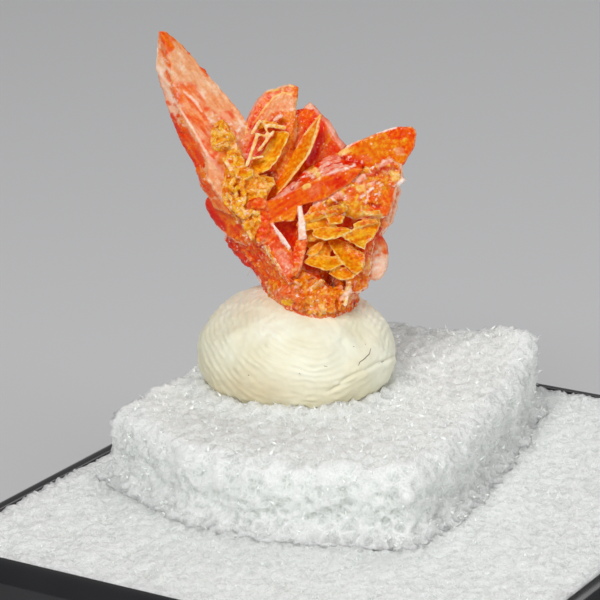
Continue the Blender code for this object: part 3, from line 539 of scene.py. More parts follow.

# Touches on each group's front: colour, frost, strength, half width (0 fills an area), lift (mm), points
# Pink and peach fields on faces turned up and to the left are partly the crystals' own colour and partly
# painted reflection of the lights
TOUCHES = {
    "tall_blade": (
        ("tan", 0.75, 0.9, 0, 0.03, (-12.2, 21.9), (-11.1, 21.1), (-10.2, 20.0), (-8.8, 18.5), (-7.6, 17.0),
         (-8.4, 16.9), (-9.2, 17.6), (-10.2, 18.2), (-11.6, 18.5), (-12.2, 19.6), (-12.4, 20.6)),
        ("peach", 0.7, 0.8, 0, 0.0, (-9.2, 17.5), (-7.6, 16.9), (-6.5, 15.9), (-6.2, 15.3), (-7.2, 15.0),
         (-8.3, 15.6), (-9.0, 16.4)),
        ("salmon", 0.4, 0.85, 0, -0.02, (-8.3, 15.9), (-7.1, 16.1), (-6.9, 15.4), (-7.4, 14.9), (-8.1, 15.0)),
        ("salmon", 0.3, 0.6, 0, -0.04, (-11.9, 18.4), (-10.6, 18.4), (-9.9, 17.6), (-9.2, 16.2),
         (-9.5, 15.4), (-8.9, 14.9), (-8.9, 13.6), (-9.1, 12.6), (-9.8, 13.2), (-10.9, 15.2), (-11.6, 16.6)),
        ("orange", 0.25, 0.65, 0, 0.0, (-11.6, 18.2), (-10.6, 18.2), (-10.0, 17.0), (-9.3, 15.6),
         (-9.0, 14.4), (-9.6, 14.2), (-10.8, 15.6), (-11.5, 17.0)),
        ("pale", 0.8, 0.7, 0.07, 0.03, (-11.2, 17.6), (-10.2, 16.6), (-9.7, 15.9)),
        ("pale", 0.8, 0.6, 0.08, 0.02, (-10.7, 17.2), (-10.0, 16.6)),
        ("orange", 0.1, 1.0, 0.33, 0.0, (-12.95, 22.3), (-12.3, 21.3)),
        ("orange", 0.2, 0.8, 0.26, -0.03, (-13.1, 20.8), (-12.6, 19.9)),
        ("pale", 0.7, 0.6, 0.05, 0.0, (-13.1, 20.5), (-12.5, 20.0)),
        ("fire", 0.2, 0.8, 0.13, -0.03, (-12.7, 19.2), (-12.4, 18.5)),
        ("pale", 0.85, 0.85, 0, 0.0, (-13.5, 20.0), (-13.0, 19.2), (-12.6, 18.2), (-12.2, 17.2),
         (-11.6, 16.2), (-11.9, 15.4), (-12.5, 15.8), (-12.9, 17.4), (-13.5, 19.3)),
        ("salmon", 0.3, 0.8, 0.12, 0.04, (-12.6, 16.7), (-12.4, 16.5)),
        ("salmon", 0.3, 0.8, 0.12, 0.04, (-12.0, 16.5), (-11.8, 16.3)),
        ("fire", 0.3, 0.8, 0.2, 0.05, (-12.2, 15.6), (-11.9, 15.3)),
        ("fire", 0.1, 0.95, 0, 0.0, (-12.2, 14.9), (-11.5, 14.8), (-10.9, 14.5), (-10.3, 13.4), (-9.6, 12.3),
         (-9.5, 11.7), (-9.9, 11.3), (-10.4, 11.2), (-11.2, 12.9)),
        ("orange", 0.15, 0.9, 0, 0.0, (-10.2, 11.2), (-9.7, 11.3), (-9.2, 10.0), (-8.3, 8.8), (-9.0, 8.6),
         (-9.6, 9.6), (-10.0, 10.2)),
        ("peach", 0.75, 0.9, 0, 0.0, (-9.3, 12.1), (-8.6, 11.6), (-8.0, 10.8), (-7.7, 10.2), (-8.0, 9.2),
         (-8.4, 9.0), (-9.1, 10.1), (-9.4, 11.2)),
        ("pale", 0.6, 0.85, 0.09, 0.05, (-11.6, 16.2), (-11.0, 15.3), (-10.3, 14.2), (-9.7, 13.1),
         (-9.2, 12.2)),
        ("pink", 0.6, 0.85, 0.12, 0.05, (-9.2, 12.2), (-8.5, 11.5), (-8.0, 10.9), (-7.7, 10.5)),
        ("white", 0.6, 0.85, 0.07, 0.0, (-13.45, 22.4), (-13.55, 20.2), (-13.6, 19.4), (-13.2, 17.9),
         (-12.85, 16.8)),
        ("salmon", 0.3, 0.7, 0.06, 0.0, (-12.5, 15.5), (-11.6, 13.9), (-10.9, 12.5), (-10.3, 11.4)),
        ("amber", 0.3, 0.7, 0.07, 0.0, (-12.7, 22.5), (-12.0, 21.9), (-11.0, 21.1)),
        ("orange", 0.3, 0.85, 0.25, 0.0, (-9.6, 19.5), (-9.2, 19.1)),
        ("amber", 0.4, 0.8, 0, 0.0, (-8.1, 12.8), (-7.2, 13.0), (-6.9, 12.2), (-7.4, 11.2), (-8.3, 11.6)),
        ("white", 0.5, 0.7, 0.14, 0.06, (-7.6, 11.3), (-7.4, 11.1)),
        ("red", 0.1, 0.9, 0, 0.0, (-9.4, 7.7), (-8.9, 7.6), (-8.2, 7.0), (-7.6, 6.3), (-7.9, 5.8),
         (-8.8, 6.7)),
        ("orange", 0.15, 0.85, 0, 0.0, (-9.3, 8.6), (-8.4, 8.6), (-7.7, 8.2), (-7.2, 7.4), (-7.8, 7.0),
         (-8.8, 7.6)),
        ("white", 0.4, 0.85, 0.08, 0.0, (-9.4, 8.6), (-9.55, 8.2), (-9.45, 7.7), (-9.1, 7.2)),
        ("white", 0.4, 0.8, 0.08, 0.05, (-8.4, 6.3), (-8.0, 5.9), (-7.7, 5.6), (-7.75, 5.2)),
        ("fire", 0.1, 0.6, 0, 0.0, (-6.9, 4.6), (-5.9, 4.5), (-5.3, 3.6), (-5.6, 3.0), (-6.3, 3.5),
         (-7.0, 4.1)),
        ("red", 0.1, 0.7, 0, 0.0, (-6.6, 3.6), (-5.8, 3.6), (-5.4, 3.0), (-6.0, 2.9)),
        ("orange", 0.2, 0.7, 0, 0.0, (-5.2, 3.4), (-4.2, 3.4), (-3.2, 2.4), (-2.6, 1.2), (-4.4, 1.3),
         (-5.0, 2.2)),
        ("white", 0.4, 0.8, 0.09, 0.0, (-4.95, 2.1), (-4.8, 1.6)),
        ("deep", 0.2, 0.9, 0.08, -0.2, (-4.0, 4.3), (-3.5, 3.6), (-3.2, 3.2)),
        ("straw", 0.5, 0.8, 0.12, 0.08, (-4.4, 4.6), (-3.9, 3.6), (-3.2, 2.8)),
        ("pink", 0.5, 0.8, 0.14, 0.05, (-2.9, 2.4), (-2.5, 1.7), (-2.2, 1.3))),
    "middle_blades": (
        ("fire", 0.2, 0.75, 0, 0.0, (-5.9, 15.2), (-5.2, 16.6), (-4.4, 17.5), (-3.0, 17.7), (-3.9, 16.9),
         (-4.5, 16.1), (-5.1, 15.2), (-5.7, 14.4)),
        ("amber", 0.3, 0.8, 0, 0.0, (-5.0, 14.6), (-3.6, 15.4), (-1.9, 15.4), (-1.8, 14.2), (-2.6, 12.6),
         (-4.0, 12.0), (-5.6, 12.8)),
        ("pink", 0.6, 0.8, 0.13, 0.04, (-7.0, 12.9), (-6.4, 14.0), (-6.0, 15.0), (-5.6, 15.8),
         (-5.2, 16.5), (-4.5, 17.4)),
        ("pale", 0.6, 0.8, 0.09, 0.0, (-4.4, 17.6), (-3.4, 17.9), (-2.3, 18.2)),
        ("salmon", 0.3, 0.7, 0, 0.0, (-3.2, 17.9), (-2.5, 18.0), (-2.4, 17.6), (-3.2, 17.5)),
        ("orange", 0.15, 0.95, 0, 0.0, (-2.15, 18.2), (-1.45, 18.1), (-1.55, 16.8), (-2.0, 17.2)),
        ("peach", 0.75, 0.9, 0, 0.0, (-4.4, 16.1), (-3.5, 17.2), (-2.7, 17.5), (-2.0, 17.1), (-1.8, 16.2),
         (-3.0, 16.1), (-3.8, 15.6), (-4.6, 15.2)),
        ("straw", 0.6, 0.8, 0.07, 0.05, (-5.5, 14.8), (-4.6, 16.0), (-3.7, 17.1), (-2.9, 17.5),
         (-2.2, 17.3)),
        ("amber", 0.3, 0.85, 0, -0.02, (-4.0, 15.8), (-1.9, 16.0), (-1.9, 14.6), (-2.4, 14.0), (-3.2, 14.9)),
        ("white", 0.3, 0.9, 0.1, 0.1, (-3.3, 15.4), (-3.05, 15.55)),
        ("peach", 0.5, 0.6, 0, 0.0, (-6.9, 12.9), (-5.6, 14.6), (-5.3, 14.2), (-5.9, 12.6), (-6.4, 12.0)),
        ("fire", 0.3, 0.7, 0, -0.06, (-6.2, 12.2), (-5.4, 13.9), (-5.2, 13.6), (-5.9, 11.6)),
        ("amber", 0.3, 0.85, 0, 0.0, (-2.4, 14.0), (-1.9, 15.6), (-1.2, 15.2), (-1.0, 14.0), (-2.3, 11.2),
         (-3.4, 10.4), (-3.6, 11.2), (-2.7, 12.6)),
        ("salmon", 0.3, 0.6, 0.06, -0.04, (-2.0, 17.0), (-2.0, 14.0), (-2.3, 12.4)),
        ("peach", 0.5, 0.7, 0, 0.0, (-2.0, 14.6), (-1.2, 14.6), (-1.3, 13.2), (-1.9, 12.8)),
        ("brown", 0.4, 0.7, 0, -0.05, (-5.6, 10.6), (-3.6, 10.9), (-3.4, 10.2), (-5.6, 9.8)),
        ("deep", 0.3, 0.7, 0.12, -0.1, (-3.6, 10.9), (-3.4, 10.5)),
        ("straw", 0.5, 0.7, 0.08, 0.06, (-5.8, 9.3), (-4.2, 9.3)),
        ("fire", 0.15, 0.9, 0, 0.0, (-1.2, 16.0), (-0.4, 15.9), (0.2, 15.0), (1.3, 13.2), (1.9, 12.6),
         (0.4, 12.0), (-1.0, 12.0), (-0.2, 13.6)),
        ("red", 0.1, 0.8, 0, 0.0, (-0.9, 12.6), (0.6, 12.9), (0.2, 11.6), (-1.2, 11.6)),
        ("orange", 0.2, 0.9, 0, 0.02, (-1.9, 16.0), (-0.7, 16.1), (-0.4, 15.2), (-1.4, 14.9), (-1.9, 15.2)),
        ("pale", 0.6, 0.8, 0, 0.0, (-1.3, 16.2), (-0.65, 16.75), (-0.1, 16.2), (-0.5, 16.0)),
        ("pink", 0.5, 0.9, 0.28, 0.0, (-0.1, 16.15), (0.5, 15.5), (1.15, 14.5), (1.6, 13.7), (2.2, 12.9)),
        ("salmon", 0.3, 0.8, 0.05, -0.03, (0.45, 15.1), (1.0, 14.3), (1.4, 13.5)),
        ("amber", 0.1, 0.75, 0, 0.0, (0.2, 15.2), (-1.2, 13.6), (-3.9, 9.0), (-3.2, 8.9), (-1.2, 11.6),
         (-0.2, 13.4)),
        ("straw", 0.5, 0.85, 0.09, 0.06, (0.2, 15.6), (-0.1, 14.4), (-0.5, 13.0), (-1.0, 12.0),
         (-1.8, 11.0), (-2.6, 9.9), (-3.4, 8.9)),
        ("straw", 0.5, 0.85, 0.08, 0.05, (0.1, 15.5), (-0.6, 14.6), (-1.2, 13.9))),
    "front_bar": (
        ("fire", 0.1, 0.8, 0, 0.0, (-4.3, 8.1), (-2.4, 8.9), (-0.3, 9.9), (1.0, 10.3), (2.2, 11.2),
         (3.9, 11.6), (3.9, 11.1), (2.9, 10.1), (1.8, 9.6), (0.9, 8.9), (-0.2, 8.3), (-1.7, 8.0),
         (-1.8, 6.8), (-3.7, 6.7)),
        ("red", 0.1, 0.7, 0, 0.0, (0.2, 9.9), (1.9, 10.6), (2.6, 9.9), (1.7, 9.4), (0.8, 8.9), (0.0, 9.0)),
        ("salmon", 0.3, 0.7, 0, 0.0, (-1.0, 9.4), (0.2, 10.0), (0.1, 9.0), (-0.6, 8.6)),
        ("pink", 0.7, 0.9, 0, 0.0, (0.1, 11.1), (0.4, 12.0), (1.2, 12.3), (2.0, 12.1), (1.9, 11.5),
         (3.2, 11.5), (2.6, 11.1), (1.2, 10.6), (0.4, 10.5)),
        ("red", 0.3, 0.85, 0.06, -0.07, (0.5, 11.2), (1.2, 11.6), (2.0, 11.7)),
        ("fire", 0.3, 0.85, 0.06, -0.07, (0.6, 10.7), (1.2, 11.2), (2.2, 11.3)),
        ("salmon", 0.3, 0.85, 0.05, -0.05, (0.9, 11.8), (1.6, 12.0)),
        # Painted glints
        ("white", 0.3, 0.9, 0.07, 0.06, (2.2, 11.2), (2.5, 11.15)),
        ("white", 0.3, 0.9, 0.07, 0.06, (2.7, 11.3), (3.1, 11.4)),
        ("red", 0.2, 0.85, 0, 0.0, (2.1, 12.2), (3.1, 12.3), (4.0, 11.6), (3.6, 11.0), (3.9, 10.7),
         (3.3, 11.4), (2.2, 11.6)),
        ("pink", 0.6, 0.85, 0, 0.0, (-4.4, 8.5), (-3.6, 8.95), (-2.8, 9.35), (-1.8, 10.3), (-1.3, 10.4),
         (-1.6, 9.7), (-2.6, 9.0), (-3.6, 8.55)),
        ("deep", 0.3, 0.8, 0.12, -0.08, (-2.2, 9.5), (-2.1, 9.6)),
        ("deep", 0.3, 0.8, 0.15, -0.08, (-1.9, 10.2), (-1.6, 10.2)),
        ("salmon", 0.3, 0.8, 0.05, -0.04, (-3.9, 8.5), (-3.3, 8.7)),
        ("straw", 0.5, 0.9, 0, 0.04, (-1.6, 11.6), (-0.4, 11.6), (0.2, 10.7), (0.2, 10.2), (-0.6, 10.8),
         (-1.4, 11.0)),
        ("straw", 0.4, 0.95, 0.2, 0.08, (-1.1, 9.6), (-0.8, 9.7)),
        ("fire", 0.3, 0.8, 0, 0.0, (-1.8, 10.4), (-0.6, 10.6), (-0.4, 10.1), (-1.2, 10.0)),
        ("pale", 0.5, 0.8, 0.1, 0.05, (-1.9, 10.8), (-1.0, 10.9), (-0.4, 10.4)),
        ("amber", 0.2, 0.85, 0, 0.0, (2.9, 12.5), (3.6, 13.2), (4.6, 13.9), (5.6, 14.2), (6.0, 13.6),
         (6.2, 12.4), (5.6, 12.2), (4.2, 11.6)),
        ("fire", 0.2, 0.85, 0, 0.0, (5.9, 14.1), (6.4, 14.6), (7.9, 14.6), (8.2, 14.1), (7.9, 13.2),
         (7.0, 13.6), (6.2, 13.4)),
        ("peach", 0.5, 0.7, 0, 0.0, (6.4, 12.8), (7.2, 12.9), (7.3, 12.3), (6.6, 12.2)),
        ("yellow", 0.3, 0.9, 0.11, 0.03, (7.2, 13.5), (7.35, 13.6)),
        ("white", 0.4, 0.9, 0.09, 0.0, (4.9, 14.15), (5.7, 14.35), (6.5, 14.6)),
        ("pale", 0.5, 0.9, 0.16, 0.0, (2.4, 13.0), (3.0, 13.4), (3.5, 13.65)),
        ("straw", 0.6, 0.9, 0, 0.04, (1.4, 12.4), (2.0, 12.7), (2.7, 12.9), (2.6, 12.5), (1.8, 12.2)),
        ("salmon", 0.5, 0.8, 0.07, 0.0, (8.1, 13.2), (7.6, 12.1), (7.1, 11.5)),
        ("salmon", 0.5, 0.7, 0.22, 0.0, (3.6, 12.1), (4.3, 11.9)),
        ("fire", 0.2, 0.8, 0, 0.0, (-5.8, 8.6), (-4.6, 8.7), (-4.2, 7.2), (-3.5, 5.8), (-2.4, 4.3),
         (-2.9, 3.8), (-4.4, 5.2), (-5.2, 6.4), (-5.2, 7.6)),
        ("orange", 0.2, 0.7, 0, 0.0, (-4.4, 8.1), (-2.4, 8.9), (-0.9, 9.3), (-0.6, 8.5), (-1.7, 8.0),
         (-1.8, 6.8), (-3.7, 6.7)),
        ("salmon", 0.4, 0.9, 0, 0.0, (-4.1, 5.0), (-3.1, 5.0), (-2.4, 3.8), (-2.1, 2.4), (-2.9, 2.5)),
        ("pink", 0.5, 0.35, 0, 0.0, (-3.4, 4.2), (-2.6, 4.2), (-2.1, 2.4), (-2.7, 2.2)),
        ("salmon", 0.3, 0.7, 0, 0.0, (-1.5, 5.2), (-0.9, 5.2), (-1.2, 3.2), (-1.7, 2.4)),
        ("fire", 0.2, 0.7, 0, 0.0, (-1.8, 5.3), (-1.0, 5.3), (-1.1, 4.0), (-1.6, 3.0), (-2.2, 3.2))),
    "brow_and_hollow": (
        ("pink", 0.6, 0.9, 0, 0.0, (5.0, 11.7), (5.5, 12.1), (6.0, 12.3), (6.2, 11.7), (5.6, 11.3),
         (5.0, 11.2)),
        ("deep", 0.3, 0.7, 0, -0.08, (3.6, 10.7), (4.5, 11.2), (5.6, 11.3), (6.6, 11.4), (6.8, 10.9),
         (5.6, 10.8), (4.8, 10.4), (4.1, 10.4)),
        ("salmon", 0.3, 0.7, 0.12, 0.06, (4.3, 10.6), (4.8, 10.7)),
        ("pink", 0.5, 0.8, 0, 0.03, (3.1, 10.3), (3.9, 10.7), (4.2, 10.2), (3.4, 9.9)),
        # Painted glint
        ("white", 0.3, 0.9, 0.11, 0.1, (3.6, 8.7), (4.2, 9.2), (4.6, 9.5)),
        ("pale", 0.3, 0.85, 0.09, 0.07, (4.2, 9.8), (4.9, 10.1)),
        ("straw", 0.4, 0.85, 0, 0.03, (3.2, 9.6), (3.9, 9.9), (4.0, 9.3), (3.4, 9.2)),
        ("amber", 0.3, 0.8, 0, 0.0, (4.9, 10.6), (5.7, 10.6), (5.8, 9.2), (5.3, 8.8), (4.8, 9.4)),
        ("straw", 0.4, 0.8, 0, 0.0, (6.0, 11.0), (6.8, 10.9), (7.0, 10.2), (6.2, 10.1)),
        ("white", 0.3, 0.95, 0.24, 0.05, (6.9, 9.9), (7.25, 10.2)),
        ("orange", 0.2, 0.9, 0, 0.0, (5.4, 9.2), (6.5, 9.3), (6.3, 8.0), (6.0, 7.0), (5.4, 7.2)),
        ("pale", 0.4, 0.85, 0.08, 0.0, (6.6, 9.2), (6.4, 8.2), (6.1, 7.3)),
        ("pink", 0.5, 0.6, 0.24, 0.04, (-0.2, 8.2), (0.6, 8.8), (1.6, 9.0), (2.6, 8.6)),
        ("brown", 0.3, 0.8, 0, -0.06, (0.6, 8.3), (2.2, 8.6), (2.4, 7.8), (0.8, 7.6)),
        ("yellow", 0.4, 0.7, 0, 0.05, (2.2, 8.5), (3.6, 8.4), (3.6, 7.2), (2.2, 7.2)),
        ("straw", 0.4, 0.9, 0.18, 0.06, (3.8, 7.4), (5.2, 7.2)),
        ("straw", 0.4, 0.8, 0.13, 0.04, (3.0, 6.9), (3.7, 7.2)),
        ("deep", 0.3, 0.8, 0.13, -0.1, (4.0, 8.2), (5.2, 8.0)),
        ("brown", 0.3, 0.8, 0.1, -0.08, (3.4, 6.4), (4.6, 6.7)),
        # Painted shade in the hole over the foot, which is also pressed in
        ("blood", 0.2, 0.9, 0, -0.2, (-1.3, 3.0), (-0.4, 2.7), (0.6, 2.5), (1.4, 1.8), (1.6, 1.4),
         (1.0, 1.3), (0.4, 1.9), (-0.6, 2.3)),
        ("orange", 0.3, 0.8, 0, 0.0, (5.0, 5.6), (5.5, 5.4), (5.9, 4.6), (6.0, 3.9), (5.5, 4.1), (5.1, 4.8)),
        ("pale", 0.7, 0.85, 0, 0.0, (4.6, 3.7), (5.4, 3.9), (5.9, 3.5), (5.8, 2.5), (5.3, 1.8), (4.5, 1.6)),
        ("pale", 0.5, 0.8, 0.16, 0.1, (-0.7, 1.1), (0.4, 1.8))),
    "foot": (
        # Painted shade in the hole at the top of the foot, which is also pressed in
        ("deep", 0.2, 0.75, 0, -0.4, (-1.0, 3.2), (0.4, 3.0), (1.2, 2.5), (1.8, 1.5), (1.3, 1.3), (0.6, 1.7),
         (-0.3, 2.3), (-1.1, 2.6)),
        ("blood", 0.2, 0.8, 0, -0.3, (0.3, 2.5), (1.2, 2.4), (1.7, 1.5), (1.3, 1.3), (0.7, 1.7)),
        ("amber", 0.2, 0.8, 0, 0.0, (-1.4, 1.9), (0.6, 1.0), (2.4, 1.0), (2.2, -0.9), (-0.9, -0.9)),
        ("orange", 0.2, 0.7, 0, 0.0, (-4.4, 2.2), (-2.6, 1.4), (-2.4, 0.2), (-3.8, 0.2)),
        ("salmon", 0.4, 0.6, 0, 0.0, (-4.0, 0.7), (-2.6, 1.6), (-1.2, 0.2), (-2.4, -0.8)),
        ("salmon", 0.3, 0.8, 0.16, 0.0, (-1.9, -0.9), (-0.6, -1.3), (0.6, -1.4), (1.6, -1.3), (2.8, -0.9)),
        ("yellow", 0.4, 0.95, 0.24, 0.05, (-2.8, 0.0), (-2.4, -0.1)),
        ("deep", 0.2, 0.9, 0.1, 0.0, (-2.2, -0.6), (-1.8, -0.8)),
        ("yellow", 0.4, 0.8, 0.25, 0.0, (3.4, 0.3), (4.2, 0.4)),
        ("straw", 0.4, 0.9, 0.16, 0.05, (0.3, -0.4), (0.5, -0.8)),
        ("pale", 0.5, 0.7, 0.2, 0.0, (2.0, 0.2), (2.9, 1.0)),
        ("salmon", 0.3, 0.6, 0, 0.0, (-4.0, 0.9), (-3.2, 0.9), (-2.8, 0.3), (-3.6, 0.2)),
        ("pale", 0.5, 0.7, 0, 0.0, (3.0, 0.8), (3.9, 1.1), (3.6, 0.4), (2.6, 0.0)))}


def from_line(xy, a, b):
    """From the nearest place on the line between two points: the way to each place, and how far it is."""
    along = b - a
    t = np.clip((xy - a) @ along / max(along @ along, 1e-9), 0.0, 1.0)
    way = xy - a - t[:, None] * along
    return way, np.linalg.norm(way, axis=1)


def reach(xy, points, closed):
    """Distance from a line of points, or below nought inside the area that they close."""
    ends = points[1:] + points[:1] if closed else points[1:]
    gap = np.full(len(xy), 99.0)
    within = np.zeros(len(xy), bool)
    for a, b in zip(points, ends):
        a, b = np.array(a), np.array(b)
        gap = np.minimum(gap, from_line(xy, a, b)[1])
        if closed and a[1] != b[1]:
            crossed = (a[1] > xy[:, 1]) != (b[1] > xy[:, 1])
            slope = (b[0] - a[0]) / (b[1] - a[1])
            within ^= crossed & (xy[:, 0] < a[0] + (xy[:, 1] - a[1]) * slope)
    return np.where(within, -gap, gap)


def blend(under, weight, over):
    """Colours covered by another one as far as the weights say."""
    return under * (1.0 - weight[:, None]) + np.array(over) * weight[:, None]


def crevices(spot, step=0.13, wide=7):
    """How far (mm) each point lies behind what is round it, so many cells of the drawing away."""
    cells = ((spot[:, :2] - spot[:, :2].min(axis=0)) / step).astype(int) + wide
    front = np.full(cells.max(axis=0) + wide + 1, -99.0)
    np.maximum.at(front, (cells[:, 0], cells[:, 1]), spot[:, 2])
    known = front > -90.0
    total, count = np.zeros(front.shape), np.zeros(front.shape)
    for dx in range(-wide, wide + 1):
        for dy in range(-wide, wide + 1):
            if dx * dx + dy * dy <= wide * wide:
                total += np.roll(np.where(known, front, 0.0), (dx, dy), (0, 1))
                count += np.roll(known, (dx, dy), (0, 1))
    return (total / np.maximum(count, 1.0))[cells[:, 0], cells[:, 1]] - spot[:, 2]


def add_touches(group, spot, facing, wobble, small, colour, frost, lift):
    """Paint a group's touches into the arrays of its colour, its frost and its lift."""
    for name, haze, strength, width, raised, *points in TOUCHES.get(group, ()):
        xs, ys = [q[0] for q in points], [q[1] for q in points]
        room = width + 0.5
        near = np.nonzero((spot[:, 0] > min(xs) - room) & (spot[:, 0] < max(xs) + room)
                          & (spot[:, 1] > min(ys) - room) & (spot[:, 1] < max(ys) + room)
                          & (facing > GLANCING))[0]
        if not len(near):
            continue
        gap = reach(spot[near, :2], points, not width)
        soft = 0.1 if not width else width * 0.45
        rough = wobble[near] * (0.3 if not width else width * 1.2)
        weight = (1.0 - smooth_step(-soft, soft, gap - width + rough)) * strength
        weight *= smooth_step(GLANCING, 0.15, facing[near]) * np.where(small[near], 0.3, 1.0)
        colour[near] = blend(colour[near], weight, COLOURS[name])
        frost[near] = frost[near] * (1 - weight) + haze * weight
        lift[near] += raised * weight


def dress(obj, source, group, seed, streak):
    """Give a fused mesh its relief, its colour and its frost, crystal by crystal."""
    tree, numbers = source
    mesh = obj.data
    co = places_of(mesh)
    part = np.array([numbers[tree.find_nearest(p)[2]] for p in co])
    kind, place = part // 4, part % 4
    p = co / MM
    spot = to_drawing(co)
    normal = normals_of(mesh)
    toward = np.array((drawn(0, 0, 1) - drawn(0, 0, 0)).normalized())
    facing = normal @ toward
    # Noise that all kinds share; its lines run along the streak, a direction of the drawing
    broad = soft_noise(p, 1.1, seed, 3) - 0.5
    fine = soft_noise(p, 0.22, seed + 7, 2) - 0.5
    run = np.stack((spot[:, 0] * streak[0] + spot[:, 1] * streak[1],
                    (spot[:, 0] * streak[1] - spot[:, 1] * streak[0]) * 5.0, spot[:, 2]), axis=1)
    lines = soft_noise(run, 1.3, seed + 5, 3) - 0.5
    lift = np.zeros(len(p))
    colour = np.zeros((len(p), 3))
    frost = np.zeros(len(p))
    texture = np.ones(len(p))
    glints = np.zeros(len(p))
    for number, (drift, size, grains, grain, mix, haze, waves, lumps, stripes) in KINDS.items():
        here = np.nonzero(kind == number)[0]
        if not len(here):
            continue
        q = p[here]
        near, far, cell = cell_noise(q, grain, seed + 11 * number)
        lift[here] = (broad[here] * waves * 1.6 + fine[here] * lumps * 0.7 + lines[here] * stripes * 2.0
                      + (np.clip(far - near, 0.0, grain) / grain * 0.5 + cell * 1.3 - 0.85) * lumps)
        # Drifts of colour, with grains of other colours in patches
        a = soft_noise(q, size, seed + number, 3)
        b = soft_noise(q, size * 0.6, seed + number + 40, 3)
        tint = np.array(COLOURS[drift[0]]) * np.ones((len(here), 1))
        tint = blend(tint, smooth_step(0.46, 0.6, a), COLOURS[drift[1]])
        tint = blend(tint, smooth_step(0.54, 0.66, b), COLOURS[drift[2]])
        picked = np.array([COLOURS[name] for name in grains])[(cell * 977.0).astype(int) % len(grains)]
        weight = mix * smooth_step(0.35, 0.6, soft_noise(q, 0.9, seed + number + 60, 2))
        tint = tint * (1.0 - weight[:, None]) + picked * weight[:, None]
        # Darker and lighter grain; frosted and clear faces are calmer
        speck = soft_noise(q, 0.13, seed + 71) - 0.5
        calm = 0.5 if number in (FROSTED_SHEEN, GLOW) else 1.0
        texture[here] += (lines[here] * (1.8 - calm) * (stripes > 0.0)
                          + (fine[here] * 0.9 + speck * 0.5 + (cell - 0.5) * 0.35 * mix) * calm)
        # Painted glints: pale specks in patches on the glossier kinds, blended in at the end
        if number in (GLOW, ETCHED, CRUMB, GLASS, HONEY, ROOT):
            glint = smooth_step(0.8, 0.9, soft_noise(q, 0.17, seed + 72))
            glints[here] = glint * smooth_step(0.48, 0.6, soft_noise(q, 1.1, seed + 73, 2)) * 0.75
        if number in (FROSTED_SHEEN, ETCHED):
            share = 0.5 if number == FROSTED_SHEEN else 0.12
            tint = blend(tint, smooth_step(0.12, 0.24, lines[here]) * share, COLOURS["pale"])
        # Paler rims
        edge = (place[here] == EDGE) | ((place[here] == SIDE) & (number == LEAF))
        rim = edge * smooth_step(0.2, 0.42, soft_noise(q, 0.5, seed + 3, 2)) * 0.9
        colour[here] = blend(tint, rim, COLOURS[RIM[number]])
        frost[here] = haze + (a - 0.5) * 0.4 + 0.2 * rim + (cell - 0.5) * 0.5 * mix
    wobble = soft_noise(p, 0.45, seed + 90, 3) - 0.5
    small = np.isin(kind, (DRUSE, PALE, LEAF, STRAW)) & (place != BACK)
    add_touches(group, spot, facing, wobble, small, colour, frost, lift)
    # Texture deepens the colour like thicker glass: each channel is raised to a power
    depth = np.clip(2.2 - 1.2 * texture, 0.6, 1.7)
    # Painted shade deepens the colour in crevices, and painted light pales what stands out in front of its
    # neighbours
    behind = crevices(spot)
    shade = 0.9 * smooth_step(0.05, 0.9, behind) - 0.2 * smooth_step(0.1, 0.6, -behind)
    depth += np.where((facing > GLANCING) & (kind != DARK), shade, 0.0)
    colour = PIGMENT * np.clip(colour, 0.0, 1.0) ** depth[:, None]
    colour = blend(colour, glints, COLOURS["pale"])
    move_vertices(mesh, co + normal * (lift * MM)[:, None])
    tint = mesh.attributes.new("tint", "FLOAT_COLOR", "POINT")
    opaque = np.concatenate((np.clip(colour, 0, 1), np.ones((len(p), 1))), axis=1)
    tint.data.foreach_set("color", opaque.astype(np.float32).ravel())
    write_values(mesh, "frost", frost)
    if "part" in mesh.attributes:
        mesh.attributes.remove(mesh.attributes["part"])


# Materials

def feed(tree, node, inputs):
    """Set a node's inputs to values, or link outputs to them."""
    for key, value in inputs.items():
        if isinstance(value, bpy.types.NodeSocket):
            tree.links.new(value, node.inputs[key])
        else:
            node.inputs[key].default_value = value


def add_node(tree, kind, inputs, **settings):
    """Add a shader node with its settings and its inputs."""
    node = tree.nodes.new("ShaderNode" + kind)
    for name, value in settings.items():
        setattr(node, name, value)
    feed(tree, node, inputs)
    return node


def add_math(tree, operation, *values):
    return add_node(tree, "Math", dict(enumerate(values)), operation=operation).outputs[0]


def add_noise(tree, vector, scale, detail, roughness=0.5, output="Fac"):
    inputs = {"Vector": vector, "Scale": scale, "Detail": detail, "Roughness": roughness}
    return add_node(tree, "TexNoise", inputs).outputs[output]


def add_range(tree, value, ends):
    """The value, moved from one range to another; ends are the sockets that aren't left at 0 to 1."""
    return add_node(tree, "MapRange", {"Value": value, **ends}).outputs["Result"]


def add_mix(tree, factor, first, second, way="MIX"):
    inputs = {"Factor": factor, "A": first, "B": second}
    return add_node(tree, "Mix", inputs, data_type="RGBA", blend_type=way).outputs["Result"]


def add_ramp(tree, amount, low, low_colour, high, high_colour):
    """Colour that goes from one to another as the amount goes from low to high."""
    ramp = add_node(tree, "ValToRGB", {"Fac": amount})
    for end, position, colour in zip(ramp.color_ramp.elements, (low, high), (low_colour, high_colour)):
        end.position = position
        end.color = (*colour, 1.0)
    return ramp.outputs["Color"]


def add_bump(tree, height, strength, distance, shader):
    """Bump the shader by a height; distance is in mm."""
    bump = add_node(tree, "Bump", {"Height": height, "Strength": strength, "Distance": distance * MM})
    feed(tree, shader, {"Normal": bump.outputs["Normal"]})


def own_attribute(tree, name, output="Fac"):
    return add_node(tree, "Attribute", {}, attribute_name=name).outputs[output]


def object_places(tree):
    return add_node(tree, "TexCoord", {}).outputs["Object"]


